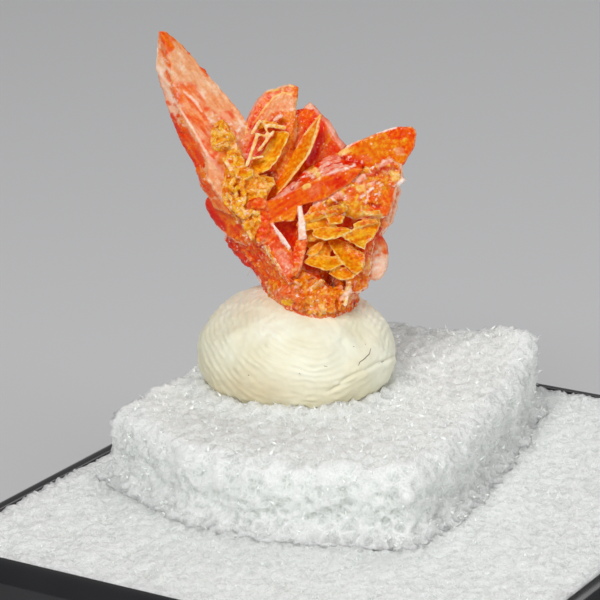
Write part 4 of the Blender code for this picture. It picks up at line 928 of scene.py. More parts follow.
def new_material(name, inputs):
    """A material, its node tree and its shader, whose plain inputs are set."""
    mat = bpy.data.materials.new(name)
    mat.use_nodes = True
    tree = mat.node_tree
    shader = tree.nodes["Principled BSDF"]
    feed(tree, shader, inputs)
    return mat, tree, shader


def plain_material(name, colour, roughness, glow=0.0):
    """One colour all over; a material that is there already is used again."""
    found = bpy.data.materials.get(name)
    if found:
        return found
    flat = (*colour, 1.0)
    return new_material(name, {"Base Color": flat, "Roughness": roughness, "Emission Color": flat,
                               "Emission Strength": glow})[0]


def grain_group():
    """Fine grain shared by the finishes: a mask of specks and a height for bumps."""
    found = bpy.data.node_groups.get("fine_grain")
    if found:
        return found
    group = bpy.data.node_groups.new("fine_grain", "ShaderNodeTree")
    for name, way, kind in (("Vector", "INPUT", "NodeSocketVector"), ("Scale", "INPUT", "NodeSocketFloat"),
                            ("Mask", "OUTPUT", "NodeSocketFloat"), ("Height", "OUTPUT", "NodeSocketFloat")):
        group.interface.new_socket(name, in_out=way, socket_type=kind)
    start = group.nodes.new("NodeGroupInput").outputs
    end = group.nodes.new("NodeGroupOutput")
    specks = add_noise(group, start["Vector"], start["Scale"], 3.0)
    cells = add_node(group, "TexVoronoi", {"Vector": start["Vector"], "Scale": start["Scale"]})
    height = add_math(group, "MULTIPLY_ADD", cells.outputs["Distance"], 0.6, specks)
    feed(group, end, {"Mask": specks, "Height": height})
    return group


def add_grain(tree, vector, scale, strength, distance, shader):
    """Bump the shader with the fine grain and give back the grain's mask."""
    grain = add_node(tree, "Group", {"Scale": scale, "Vector": vector}, node_tree=grain_group())
    add_bump(tree, grain.outputs["Height"], strength, distance, shader)
    return grain.outputs["Mask"]


def crystal_material():
    """Orange-red crystal, painted by its own attributes: clear and glossy, or frosted, with a painted glow in
    its own colour.
    """
    mat, tree, shader = new_material("wulfenite", {
        "Emission Strength": 0.17, "Specular IOR Level": 0.22, "Subsurface Weight": 0.3,
        "Subsurface Radius": (1.0, 0.35, 0.08), "Subsurface Scale": 0.2 * MM})
    mask = add_grain(tree, object_places(tree), 6500.0, 0.5, 0.04, shader)
    spread = add_range(tree, mask, {"From Min": 0.3, "From Max": 0.7, "To Min": 0.93, "To Max": 1.06})
    varied = add_mix(tree, 1.0, own_attribute(tree, "tint", "Color"), spread, "MULTIPLY")
    rough = add_range(tree, own_attribute(tree, "frost"), {"To Min": 0.1, "To Max": 0.6})
    # Painted glow: the tint is given off as light too, so the crystals' shaded parts stay bright orange
    feed(tree, shader, {"Base Color": varied, "Emission Color": varied, "Roughness": rough})
    return mat


def putty_material(settings):
    """Soft cream putty with a faint sheen, darker and yellower at a stain and in a band of painted shade
    along its foot.
    """
    mat, tree, shader = new_material("putty", {
        "Roughness": 0.58, "Subsurface Weight": 0.15, "Subsurface Radius": (1.0, 0.8, 0.5),
        "Subsurface Scale": 0.3 * MM})
    vector = object_places(tree)
    tone = add_noise(tree, vector, 220.0, 4.0)
    cream = add_ramp(tree, tone, 0.35, linear(232, 226, 196), 0.65, settings.putty_colour)
    stained_and_shaded = add_mix(tree, own_attribute(tree, "stain_and_shade"), cream, (*linear(226, 212, 176), 1.0))
    feed(tree, shader, {"Base Color": stained_and_shaded})
    add_grain(tree, vector, 3800.0, 0.2, 0.03, shader)
    return mat


def foam_material(settings):
    """White cellular foam: pale walls and fine streaks, with painted highlights on the cells' thin rims and
    painted shade in their pockets.
    """
    mat, tree, shader = new_material("foam", {
        "Roughness": 0.3, "IOR": 1.45, "Subsurface Weight": 1.0, "Subsurface Radius": (1.0, 1.0, 1.0),
        "Subsurface Scale": 2.4 * MM})
    vector = object_places(tree)
    stray = add_noise(tree, vector, 900.0, 3.0, output="Color")
    pushed = add_node(tree, "VectorMath", {0: stray, 1: (0.9 * MM, 0.9 * MM, 0.9 * MM), 2: vector},
                      operation="MULTIPLY_ADD").outputs[0]
    # The cells' thin rims are painted highlights
    rim_highlights = []
    for count, width in ((1.2, 0.09), (2.6, 0.15)):
        cells = add_node(tree, "TexVoronoi", {"Vector": pushed, "Scale": count / settings.foam_cell},
                         feature="DISTANCE_TO_EDGE")
        ends = {"From Max": width, "To Min": 1.0, "To Max": 0.0}
        rim_highlights.append(add_range(tree, cells.outputs["Distance"], ends))
    drift = add_noise(tree, vector, 380.0, 4.0, 0.7)
    both = add_math(tree, "MULTIPLY_ADD", rim_highlights[1], 0.7, rim_highlights[0])
    fine = add_math(tree, "MULTIPLY_ADD", both, drift, drift)
    # The wall values add the painted highlights on the rims and the painted shade in the pockets
    total = add_math(tree, "MULTIPLY_ADD", own_attribute(tree, "wall"), 0.3, fine)
    dim = tuple(0.76 * c for c in settings.foam_colour)
    feed(tree, shader, {"Base Color": add_ramp(tree, total, 0.45, dim, 1.0, settings.foam_colour)})
    add_bump(tree, total, 0.6, 0.12, shader)
    return mat


def box_material(settings):
    """Glossy black moulded plastic with faint wear."""
    mat, tree, shader = new_material("black_plastic", {})
    vector = object_places(tree)
    smear = add_noise(tree, vector, 90.0, 5.0)
    worn = tuple(3 * c for c in settings.box_colour)
    tint = add_mix(tree, smear, (*settings.box_colour, 1.0), (*worn, 1.0))
    rough = add_range(tree, smear, {"To Min": 0.07, "To Max": 0.24})
    feed(tree, shader, {"Base Color": tint, "Roughness": rough})
    add_grain(tree, vector, 900.0, 0.03, 0.02, shader)
    return mat


def film_material(colour):
    """Torn foam films with a painted glow, which stands for the light that comes through films so thin."""
    return plain_material("film", colour, 0.35, 0.22)


# Crystal groups

def tall_blade_parts():
    """The ridged blade, the plates and the etched flank under it, and the mass that they grow from."""
    stations = (
        ((-13.42, 22.6), (-13.2, 22.68), (-12.8, 22.7), 0.25),
        ((-13.5, 21.4), (-12.7, 21.4), (-11.3, 21.5), 0.6),
        ((-13.6, 19.5), (-12.2, 19.3), (-9.7, 19.6), 0.85),
        ((-12.95, 17.4), (-11.9, 17.3), (-7.8, 17.5), 1.0),
        ((-12.2, 15.0), (-11.2, 15.4), (-6.5, 15.9), 1.0),
        ((-11.4, 13.2), (-10.0, 13.4), (-5.6, 14.5), 1.0),
        ((-10.3, 11.4), (-9.2, 12.0), (-5.0, 12.6), 1.0),
        ((-9.9, 9.7), (-9.1, 10.0), (-4.6, 10.5), 1.0),
        ((-9.2, 8.8), (-8.0, 8.6), (-4.6, 8.2), 1.0),
        ((-8.7, 7.8), (-7.4, 7.3), (-4.5, 6.4), 1.0))
    return [
        ridged_blade(FROSTED_SHEEN, stations, 5.9, -0.02),
        crystal(GLOW, ((-9.1, 8.9), (-9.5, 8.4), (-9.45, 7.9), (-9.1, 7.2), (-8.5, 6.4), (-8.0, 5.9),
            (-7.6, 5.4), (-6.0, 4.6), (-5.2, 5.2), (-6.3, 7.2), (-7.8, 9.2)), (-8.0, 5.9, 3.2),
            (1.0, 0.6), 3.2, jag=0.05),
        crystal(ETCHED, ((-7.8, 5.6), (-7.7, 5.1), (-7.4, 4.5), (-6.8, 3.8), (-6.3, 3.2), (-5.8, 2.9),
            (-5.35, 2.6), (-5.1, 2.1), (-4.8, 1.6), (-4.4, 1.2), (-3.3, 0.6), (-1.9, 1.6), (-3.2, 2.9),
            (-4.1, 4.7), (-5.0, 6.0), (-6.6, 6.4)), (-4.7, 1.5, 2.8),
            (1.55, 1.0), 2.7, back=0.72, jag=0.06),
        crystal(GLOW, ((-9.85, 19.65), (-9.4, 19.45), (-9.2, 19.0), (-9.8, 18.7)), (-9.5, 19.2, 4.0),
            (0.0, 0.0), 0.9),
        hull(GLOW, ((-4.3, 2.4, 3.8), (-2.0, 1.5, 4.4), (-1.7, 4.0, 3.4), (-2.2, 8.6, 3.8),
            (-4.0, 11.5, 3.2), (-7.0, 12.0, 2.4), (-8.6, 9.4, 3.0), (-8.4, 7.0, 2.6), (-6.8, 4.6, 2.2),
            (-3.0, 2.6, -1.4), (-2.0, 7.0, -1.2), (-4.0, 11.0, -0.5), (-7.0, 10.0, 0.2), (-6.4, 6.4, 0.2),
            (-0.6, 3.0, -1.0)))]


def middle_blade_parts():
    """The middle blade and its inner face, the blade behind it and the long leaf."""
    return [
        crystal(HONEY, ((-2.3, 18.3), (-1.8, 18.1), (-1.55, 17.9), (-1.7, 16.9), (-1.75, 16.0),
            (-1.7, 14.0), (-2.6, 11.0), (-4.2, 9.2), (-6.0, 9.5), (-7.0, 11.2), (-6.95, 12.6), (-6.9, 13.2),
            (-6.5, 13.9), (-5.9, 15.4), (-5.4, 16.4), (-5.0, 17.1), (-4.4, 17.6), (-3.4, 17.95)),
            (-4.0, 14.5, 4.2), (0.1, -0.12), 1.5, bevel=0.3, jag=0.05),
        crystal(HONEY, ((-4.9, 14.6), (-4.1, 15.9), (-3.2, 17.0), (-2.4, 17.4), (-1.95, 16.9),
            (-1.85, 15.4), (-2.0, 13.8), (-3.2, 12.0), (-4.6, 12.6)), (-4.0, 14.5, 4.34),
            (0.1, -0.12), 0.8, bevel=0.1, jag=0.03),
        crystal(GLOW, ((-1.8, 16.0), (-1.3, 16.15), (-0.65, 16.75), (0.0, 16.1), (0.4, 15.6), (1.0, 15.1),
            (1.5, 14.3), (2.0, 13.5), (2.5, 13.0), (2.0, 11.5), (-1.0, 11.0), (-2.2, 13.0)),
            (0.0, 14.0, 3.4), (-0.2, -0.15), 1.8, bevel=0.3, jag=0.04),
        crystal(GLASS, ((0.25, 15.45), (-0.4, 14.95), (-1.2, 13.9), (-2.0, 12.6), (-2.9, 11.0), (-3.7, 9.6),
            (-4.2, 8.8), (-3.4, 8.9), (-2.7, 9.6), (-1.9, 10.6), (-1.2, 11.6), (-0.7, 12.3), (-0.2, 13.4),
            (0.15, 14.4)), (-1.5, 12.4, 5.2), (0.9, -0.5), 0.6, bevel=0.1, dish=0.12, jag=0.02)]


def small_plate_parts():
    """Rods, a triangle, a spoon-shaped leaf and little plates on the middle blade."""
    solids = [
        crystal(LEAF, ((-3.55, 14.35), (-2.46, 14.2), (-2.34, 14.0), (-2.6, 13.4), (-2.9, 12.8),
            (-3.15, 12.15), (-3.6, 11.5), (-4.1, 11.0), (-4.6, 10.75), (-5.3, 10.8), (-5.7, 11.2),
            (-5.6, 11.7), (-4.9, 12.1), (-4.4, 12.8), (-3.9, 13.7)), (-4.0, 12.4, 5.5),
            (0.45, -0.35), 0.6, bevel=0.13, dish=0.3, jag=0.05, pitch=0.18),
        crystal(LEAF, ((-6.95, 10.9), (-6.6, 11.3), (-6.0, 11.4), (-5.4, 11.0), (-5.4, 10.5), (-6.0, 10.2),
            (-6.8, 10.3)), (-6.0, 10.8, 6.3), (0.0, -0.5), 1.0, bevel=0.1, dish=0.15, jag=0.03, pitch=0.18),
        crystal(LEAF, ((-6.6, 10.2), (-5.6, 10.5), (-4.6, 10.6), (-3.7, 10.4), (-3.5, 9.8), (-4.2, 9.2),
            (-5.4, 9.0), (-6.5, 9.5)), (-5.4, 10.0, 5.6), (0.0, -0.4), 1.3, bevel=0.1, jag=0.05, pitch=0.2),
        crystal(LEAF, ((-4.9, 15.2), (-4.2, 15.15), (-3.3, 14.9), (-3.3, 14.6), (-4.4, 14.6), (-5.1, 14.3)),
            (-4.2, 14.8, 5.2), (0.0, 0.1), 0.8, bevel=0.08, jag=0.03, pitch=0.2),
        crystal(DRUSE, ((-8.95, 13.0), (-9.0, 14.3), (-8.6, 15.0), (-8.1, 15.3), (-7.6, 15.0), (-7.1, 14.2),
            (-6.7, 13.5), (-6.9, 12.7), (-7.6, 12.9), (-8.1, 12.5), (-8.6, 12.5)), (-8.0, 13.8, 5.5),
            (-0.3, 0.0), 1.2, bevel=0.3, jag=0.08),
        crystal(DRUSE, ((-8.2, 9.6), (-7.8, 11.4), (-7.7, 12.8), (-6.6, 13.1), (-5.9, 11.0), (-4.9, 10.6),
            (-3.6, 9.8), (-4.4, 8.4), (-4.6, 7.2), (-4.8, 6.0), (-5.4, 5.2), (-6.1, 6.2), (-7.1, 7.2),
            (-8.2, 8.4)), (-6.4, 8.0, 6.1), (0.22, -0.14), 2.4, bevel=0.3, jag=0.1),
        crystal(DRUSE, ((-6.4, 6.9), (-5.9, 7.1), (-5.45, 6.2), (-5.3, 5.15), (-5.6, 5.2), (-6.0, 5.9)),
            (-5.8, 6.2, 6.7), (0.2, 0.2), 1.2, bevel=0.12),
        crystal(LEAF, ((-5.4, 7.7), (-4.95, 7.4), (-4.85, 6.4), (-5.1, 5.9), (-5.5, 6.8)), (-5.1, 6.8, 6.9),
            (0.2, 0.0), 1.6, bevel=0.12)]
    rods = (
        # start, end, width
        ((-5.05, 14.0, 6.2), (-5.95, 11.4, 6.4), 0.26), ((-3.7, 14.25, 6.1), (-4.95, 12.65, 6.2), 0.22),
        ((-5.5, 14.1, 5.7), (-4.85, 15.15, 5.5), 0.24), ((-4.6, 15.0, 5.8), (-4.1, 13.9, 6.1), 0.16),
        ((-5.2, 14.05, 6.1), (-4.1, 13.8, 6.2), 0.18), ((-4.2, 14.75, 5.9), (-2.75, 14.55, 5.8), 0.3),
        ((-3.6, 15.2, 5.5), (-3.1, 15.6, 5.4), 0.3), ((-5.6, 11.95, 6.1), (-4.6, 12.15, 6.3), 0.16),
        ((-6.85, 13.2, 5.4), (-7.0, 11.2, 5.9), 0.2), ((-7.05, 11.2, 6.0), (-7.25, 9.4, 6.3), 0.22),
        ((-6.4, 10.0, 6.6), (-6.15, 8.5, 6.9), 0.3), ((-6.9, 9.4, 6.6), (-6.6, 8.0, 6.9), 0.22),
        ((-5.8, 9.3, 6.4), (-4.4, 9.25, 6.5), 0.18), ((-7.6, 9.0, 6.4), (-6.7, 7.9, 6.8), 0.26),
        ((-7.2, 8.2, 6.7), (-6.3, 7.0, 7.0), 0.24), ((-6.6, 8.4, 6.9), (-5.9, 7.1, 7.1), 0.22),
        ((-6.1, 7.5, 7.1), (-4.9, 7.45, 7.2), 0.24), ((-6.2, 6.6, 7.0), (-5.55, 5.3, 7.1), 0.26),
        ((-7.9, 8.6, 6.2), (-7.3, 7.7, 6.5), 0.2), ((-8.4, 13.0, 5.9), (-7.7, 13.3, 5.9), 0.3),
        ((-8.5, 14.6, 5.8), (-7.4, 13.8, 5.9), 0.3), ((-7.9, 12.0, 5.9), (-7.3, 11.1, 6.1), 0.3))
    for k, (start, end, width) in enumerate(rods):
        solids.append(needle(PALE if k == 6 else STRAW, start, end, width * 1.1, 0.6))
    return solids


def front_parts():
    """The bar, its crest, the plate at the right, and the recess with its two upright plates."""
    return [
        crystal(GLOW, ((-4.45, 8.3), (-2.4, 9.2), (-0.4, 10.15), (0.8, 10.8), (2.4, 11.2), (3.9, 11.1),
            (2.8, 10.0), (1.7, 9.3), (0.6, 8.55), (-0.3, 8.35), (-1.6, 8.0), (-2.0, 6.75), (-3.8, 6.6),
            (-4.1, 7.6)), (0.0, 9.5, 6.9), (-0.12, 0.2), 2.0, bevel=0.1),
        hull(ETCHED, ((-4.3, 8.25, 6.9), (-1.6, 9.55, 6.9), (0.9, 10.75, 6.8), (3.8, 11.05, 6.3),
            (-3.2, 8.95, 4.6), (-0.6, 11.3, 4.0), (0.7, 12.2, 3.7), (2.6, 12.35, 3.8), (3.8, 11.8, 4.4),
            (-2.0, 8.2, 4.4), (2.0, 9.8, 4.4))),
        crystal(GLASS, ((1.6, 12.3), (2.45, 13.1), (3.0, 13.35), (4.2, 13.8), (5.1, 14.2), (6.6, 14.65),
            (7.9, 14.65), (8.2, 14.4), (8.3, 14.0), (8.15, 13.0), (7.9, 12.55), (7.5, 11.9), (7.2, 11.4),
            (6.1, 11.6), (4.2, 11.0)), (5.0, 13.0, 5.2), (0.02, 0.06), 1.3, bevel=0.12, jag=0.04),
        crystal(ETCHED, ((-5.2, 8.6), (-4.3, 8.3), (-3.75, 6.5), (-3.45, 5.9), (-2.25, 4.4), (-1.9, 2.6),
            (-2.4, 1.5), (-3.4, 2.9), (-4.2, 4.6), (-5.3, 5.3), (-5.2, 7.3)), (-3.8, 5.0, 6.6),
            (0.2, 0.05), 2.6, bevel=0.1),
        crystal(PALE, ((-3.85, 6.5), (-3.7, 6.45), (-2.9, 5.5), (-2.2, 4.5), (-2.4, 4.3), (-3.2, 5.3)),
            (-3.0, 5.4, 7.0), (0.2, 0.05), 0.7, bevel=0.05),
        crystal(ETCHED, ((-1.75, 6.6), (-1.0, 6.6), (-0.9, 5.2), (-1.05, 4.3), (-1.3, 3.2), (-1.5, 2.6),
            (-2.0, 2.0), (-2.3, 3.0), (-2.0, 4.4), (-1.75, 5.2)), (-1.4, 4.4, 6.7),
            (0.1, 0.0), 3.0, bevel=0.07, jag=0.04, pitch=0.2),
        crystal(PALE, ((-1.65, 7.95), (-1.35, 7.95), (-1.05, 6.6), (-0.95, 5.25), (-1.6, 5.2)),
            (-1.3, 6.4, 6.95), (0.0, 0.0), 3.0, bevel=0.04),
        crystal(CRUMB, ((-4.35, 4.7), (-4.1, 4.7), (-3.7, 3.9), (-3.1, 2.8), (-2.2, 1.5), (-2.45, 1.4),
            (-3.4, 2.7), (-4.0, 3.8)), (-3.3, 3.0, 7.0), (0.2, 0.05), 1.0, bevel=0.04, jag=0.04),
        crystal(ETCHED, round_outline(-5.05, 8.05, 0.9, 0.62), (-5.05, 8.05, 7.4),
            (0.15, 0.1), 2.2, bevel=0.34),
        crystal(ETCHED, ((-5.6, 7.7), (-4.3, 8.2), (-4.0, 7.0), (-4.2, 5.4), (-5.0, 4.6), (-5.3, 5.6)),
            (-4.8, 6.6, 6.9), (0.3, 0.1), 1.8, bevel=0.2, jag=0.06),
        hull(DARK, ((-4.2, 3.0, 4.6), (-0.6, 2.0, 4.4), (-4.0, 8.6, 5.0), (0.6, 9.6, 4.8), (2.6, 6.4, 4.4),
            (2.2, 2.8, 4.2), (-3.6, 3.0, 0.0), (1.4, 2.4, 0.0), (-3.4, 9.0, 0.4), (1.0, 9.4, 0.4)))]


def brow_parts():
    """The crumbly brow, the wall and the rounded plates at the right, and what is behind the hollow."""
    return [
        crystal(CRUMB, ((-1.2, 7.2), (-0.4, 8.3), (0.8, 8.7), (1.7, 9.4), (2.8, 10.2), (4.0, 11.1),
            (5.1, 11.5), (6.1, 12.1), (7.1, 11.5), (7.15, 10.6), (7.4, 10.2), (6.8, 9.6), (6.6, 9.0),
            (6.2, 7.5), (5.9, 7.0), (5.4, 6.9), (4.4, 7.0), (3.4, 6.9), (2.2, 7.05), (0.8, 7.0),
            (-0.6, 6.9)), (3.0, 9.0, 6.1), (-0.1, 0.12), 2.2, bevel=0.25, jag=0.07),
        crystal(CRUMB, ((3.8, 4.4), (4.3, 5.3), (4.6, 6.2), (5.2, 6.7), (5.4, 6.2), (4.8, 5.3), (4.6, 4.0),
            (4.5, 2.8), (4.3, 1.9), (4.15, 1.1), (3.6, 0.7), (2.6, 0.5), (2.3, 1.7), (3.3, 2.3),
            (3.6, 3.2)), (4.0, 3.0, 4.9), (-0.9, 0.1), 2.4, bevel=0.2, jag=0.06),
        crystal(FROSTED_SHEEN, ((4.2, 5.6), (5.2, 5.7), (5.65, 5.2), (5.85, 4.6), (5.95, 3.9), (5.9, 3.1),
            (5.75, 2.5), (5.4, 1.95), (4.8, 1.7), (4.0, 1.9), (3.7, 3.6)), (4.9, 3.6, 3.8),
            (-0.3, 0.1), 1.3, bevel=0.25),
        crystal(FROSTED_SHEEN, round_outline(4.3, 5.6, 1.1, 0.8), (4.3, 5.6, 2.6), (-0.3, 0.1), 1.1, bevel=0.2),
        crystal(FROSTED_SHEEN, ((5.3, 6.9), (5.5, 7.0), (6.0, 6.4), (5.6, 6.0), (5.2, 6.3)), (5.6, 6.5, 5.0),
            (0.0, 0.0), 1.4, bevel=0.06),
        hull(CRUMB, ((-1.2, 3.0, 3.4), (1.6, 3.4, 4.2), (3.0, 8.0, 4.4), (6.0, 9.5, 3.9), (6.0, 11.4, 3.8),
            (2.5, 12.0, 2.6), (-1.0, 11.0, 2.4), (5.2, 6.6, 3.4), (4.2, 2.4, 3.0), (-0.8, 2.6, -1.4),
            (3.2, 2.6, -1.0), (5.2, 6.0, 0.2), (5.8, 10.5, 1.0), (1.0, 11.0, -0.6), (-1.5, 8.0, -1.2)))]


def round_outline(x, y, rx, ry, sides=14):
    """Oval outline round a point of the drawing."""
    return [(x + rx * math.cos(math.tau * k / sides), y + ry * math.sin(math.tau * k / sides))
            for k in range(sides)]


def leaf_parts():
    """Leaf plates that fill the hollow under the brow, one behind another."""
    leaves = (
        # outline, point on its face, lean, thickness, dish
        (((-1.4, 7.2), (0.2, 7.55), (1.2, 8.0), (2.2, 8.3), (2.4, 7.8), (1.2, 7.2), (0.2, 6.85),
            (-1.35, 6.6)), (0.6, 7.3, 6.9), (0.0, 0.3), 1.0, 0.0),
        (((-1.35, 6.5), (0.0, 6.85), (1.0, 6.9), (1.7, 6.5), (0.6, 6.15), (-1.3, 5.9)), (0.2, 6.5, 6.4),
            (0.0, -0.4), 0.9, 0.0),
        (((-0.55, 5.75), (-0.35, 6.05), (0.4, 6.25), (1.4, 6.3), (2.5, 6.2), (2.9, 5.95), (2.2, 5.55),
            (1.4, 5.2), (0.5, 5.1), (-0.1, 5.25), (-0.45, 5.45)), (0.8, 5.7, 6.9), (0.0, -0.55), 1.2, 0.1),
        (((2.0, 5.4), (2.6, 5.0), (3.3, 4.55), (3.9, 4.35), (4.2, 4.9), (4.8, 5.5), (5.3, 6.4), (5.2, 7.0),
            (4.2, 6.6), (3.0, 6.1)), (3.8, 5.4, 6.5), (-0.2, -0.5), 0.8, 0.15),
        (((0.8, 5.2), (1.4, 5.35), (2.4, 5.0), (3.2, 4.4), (3.9, 4.1), (4.0, 3.2), (3.7, 2.5), (3.3, 2.2),
            (2.8, 2.45), (2.1, 3.1), (1.5, 3.9), (1.0, 4.6)), (2.5, 3.9, 6.0), (-0.1, -0.45), 0.9, 0.2),
        (((-1.1, 4.6), (-0.9, 5.3), (0.0, 5.35), (1.0, 5.2), (1.0, 4.6), (0.4, 4.3), (-0.4, 4.3)),
            (0.0, 4.8, 5.2), (0.1, -0.4), 0.9, 0.1),
        (((-1.1, 3.9), (-0.7, 4.5), (0.1, 5.0), (0.5, 5.0), (0.4, 4.4), (-0.1, 3.9), (-0.6, 3.7)),
            (-0.3, 4.3, 6.0), (0.35, -0.3), 0.7, 0.1),
        (((-0.2, 3.7), (0.1, 4.4), (0.5, 5.1), (1.0, 5.1), (1.2, 4.4), (1.0, 3.8)), (0.5, 4.4, 5.5),
            (-0.3, -0.3), 0.9, 0.0),
        (((-1.25, 3.35), (-0.8, 3.0), (-0.1, 2.75), (0.6, 2.55), (1.2, 2.6), (2.1, 3.05), (2.0, 3.5),
            (1.3, 3.8), (0.2, 3.95), (-0.8, 3.8)), (0.3, 3.2, 6.2), (0.0, -0.7), 0.9, 0.15),
        (((0.8, 2.35), (1.5, 1.9), (2.16, 1.75), (2.9, 1.9), (3.4, 2.4), (2.6, 2.9), (1.6, 2.95)),
            (2.0, 2.3, 6.2), (0.0, -0.6), 0.9, 0.12),
        (((-1.4, 6.1), (-0.2, 6.2), (0.6, 5.6), (-0.4, 5.0), (-1.35, 5.1)), (-0.6, 5.6, 5.7),
            (0.1, -0.3), 0.9, 0.0),
        (((0.5, 7.25), (1.4, 7.5), (2.3, 7.1), (2.0, 6.5), (1.0, 6.4)), (1.4, 6.9, 6.9),
            (0.0, -0.6), 1.0, 0.1),
        (((2.9, 6.5), (3.8, 6.9), (4.9, 7.0), (5.2, 6.6), (4.0, 6.3), (3.0, 6.1)), (4.0, 6.6, 6.3),
            (0.0, -0.3), 0.9, 0.0),
        (((3.7, 7.5), (4.2, 7.75), (5.3, 7.6), (5.3, 7.25), (4.1, 7.15)), (4.6, 7.5, 6.7),
            (0.0, -0.6), 1.0, 0.0))
    solids = [crystal(LEAF, outline, at, lean, thick, bevel=0.13, back=0.7, dish=dish, jag=0.06, pitch=0.17)
              for outline, at, lean, thick, dish in leaves]
    solids.append(crystal(DRUSE, ((-0.6, 1.05), (-0.4, 0.9), (0.5, 1.65), (0.3, 1.9)),
                          (-0.1, 1.4, 7.3), (0.3, 0.2), 0.6, bevel=0.05))
    return solids


# The foot: its plan and the plan's middle (mm), and each ring's height, scale, and shift across and back
FOOT_PLAN = (
    (-2.65, 0.3), (-2.15, -1.7), (-1.4, -3.1), (-0.8, -4.0), (0.0, -4.6), (0.9, -5.0),
    (2.0, -4.9), (3.2, -4.4), (4.1, -3.5), (4.7, -2.5), (5.0, -1.2), (5.25, 0.2), (5.1, 1.7),
    (4.1, 2.8), (2.5, 3.4), (0.7, 3.4), (-0.9, 2.9), (-2.2, 1.9))
FOOT_MIDDLE = (1.3, -0.8)
FOOT_RINGS = (
    (5.6, 0.84, 0.0, 0.2), (6.7, 0.98, 0.0, 0.0), (7.7, 1.0, -0.05, 0.0), (8.6, 1.02, -0.25, 0.0),
    (9.4, 0.9, -0.35, 0.45), (10.3, 0.66, -0.5, 1.3))
# Upright columns on the front of the foot: across, low end, top end, slant and width (mm)
FOOT_COLUMNS = (
    (-0.6, 1.05, 1.75, 1.05, 0.3), (-0.9, -0.6, 1.0, -0.2, 0.42), (-0.2, -0.9, 0.9, 0.1, 0.5),
    (0.5, -0.7, 1.1, 0.0, 0.4), (1.15, -0.8, 0.8, 0.15, 0.5), (1.8, -0.6, 1.1, 0.1, 0.36),
    (2.3, -0.3, 1.6, 0.35, 0.3))


def foot_part():
    """The foot that stands in the putty, ring over ring."""
    rng = random.Random(11)
    middle = Vector(FOOT_MIDDLE)
    turn = Matrix.Rotation(FAN_TURN, 3, "Z")
    rings = []
    for height, scale, across, back in FOOT_RINGS:
        ring = []
        for point in FOOT_PLAN:
            arm = (Vector(point) - middle) * scale * (1.0 + rng.uniform(-0.03, 0.03))
            place = middle + arm
            ring.append((turn @ Vector((place.x + across, place.y + back, height)) + PUTTY_AXIS) * MM)
        rings.append(ring)
    return mark_faces(tower(rings, ROOT), ROOT)


def rear_parts():
    """Pointed and cut-off blades on the back, fanned out from the foot."""
    pointed = ((0.0, -0.3), (0.0, 0.3), (0.45, 0.5), (0.66, 0.44), (1.0, 0.06), (0.96, -0.06),
               (0.58, -0.5), (0.42, -0.46))
    cut_off = ((0.0, -0.3), (0.0, 0.3), (0.5, 0.5), (0.86, 0.36), (1.0, 0.1), (0.92, -0.3),
               (0.62, -0.5), (0.3, -0.42))
    blades = (
        (FROSTED_SHEEN, pointed, (-2.4, 3.2), (-8.6, 12.4), 4.4, 1.6, 0.30, 0.10),
        (GLOW, cut_off, (-1.0, 3.4), (-3.6, 15.2), 4.8, 1.4, -0.20, 0.22),
        (GLASS, pointed, (0.4, 3.2), (2.2, 12.6), 4.2, 0.6, 0.25, 0.20),
        (FROSTED_SHEEN, cut_off, (1.6, 3.2), (6.4, 10.6), 4.2, 1.4, -0.35, 0.05),
        (GLOW, pointed, (-1.8, 3.4), (-5.6, 9.4), 3.4, -0.4, 0.55, 0.25),
        (FROSTED_SHEEN, cut_off, (-0.2, 3.6), (-1.2, 11.0), 3.6, -0.7, -0.30, 0.30),
        (GLOW, pointed, (1.8, 3.4), (4.6, 8.2), 3.0, -0.1, -0.50, 0.15))
    solids = []
    for kind, shape, root, tip, width, depth, across, up in blades:
        along = Vector(tip) - Vector(root)
        side = Vector((-along.y, along.x)).normalized() * width
        outline = [tuple(Vector(root) + along * u + side * v) for u, v in shape]
        solids.append(crystal(kind, outline, (*tip, depth), (across, up), 1.8, bevel=0.22, back=0.82,
                              jag=0.05, pitch=0.4))
    return solids


def grow(parts, name, coarseness, seed, streak, strewn):
    """Join the crystals, strew small ones on them, fuse all and give them their looks."""
    solid = join(parts)
    tree = tree_of(solid.data)
    solid = join([solid] + [strew(tree, *row) for row in strewn])
    source = surface_of(solid)
    fuse(solid, bpy.context.scene.specimen.crystal_voxel * coarseness)
    dress(solid, source, name, seed, streak)
    material = bpy.data.materials.get("wulfenite") or crystal_material()
    return finish_piece(solid, name, material, "orange_wulfenite", CLUSTER)


# Settings

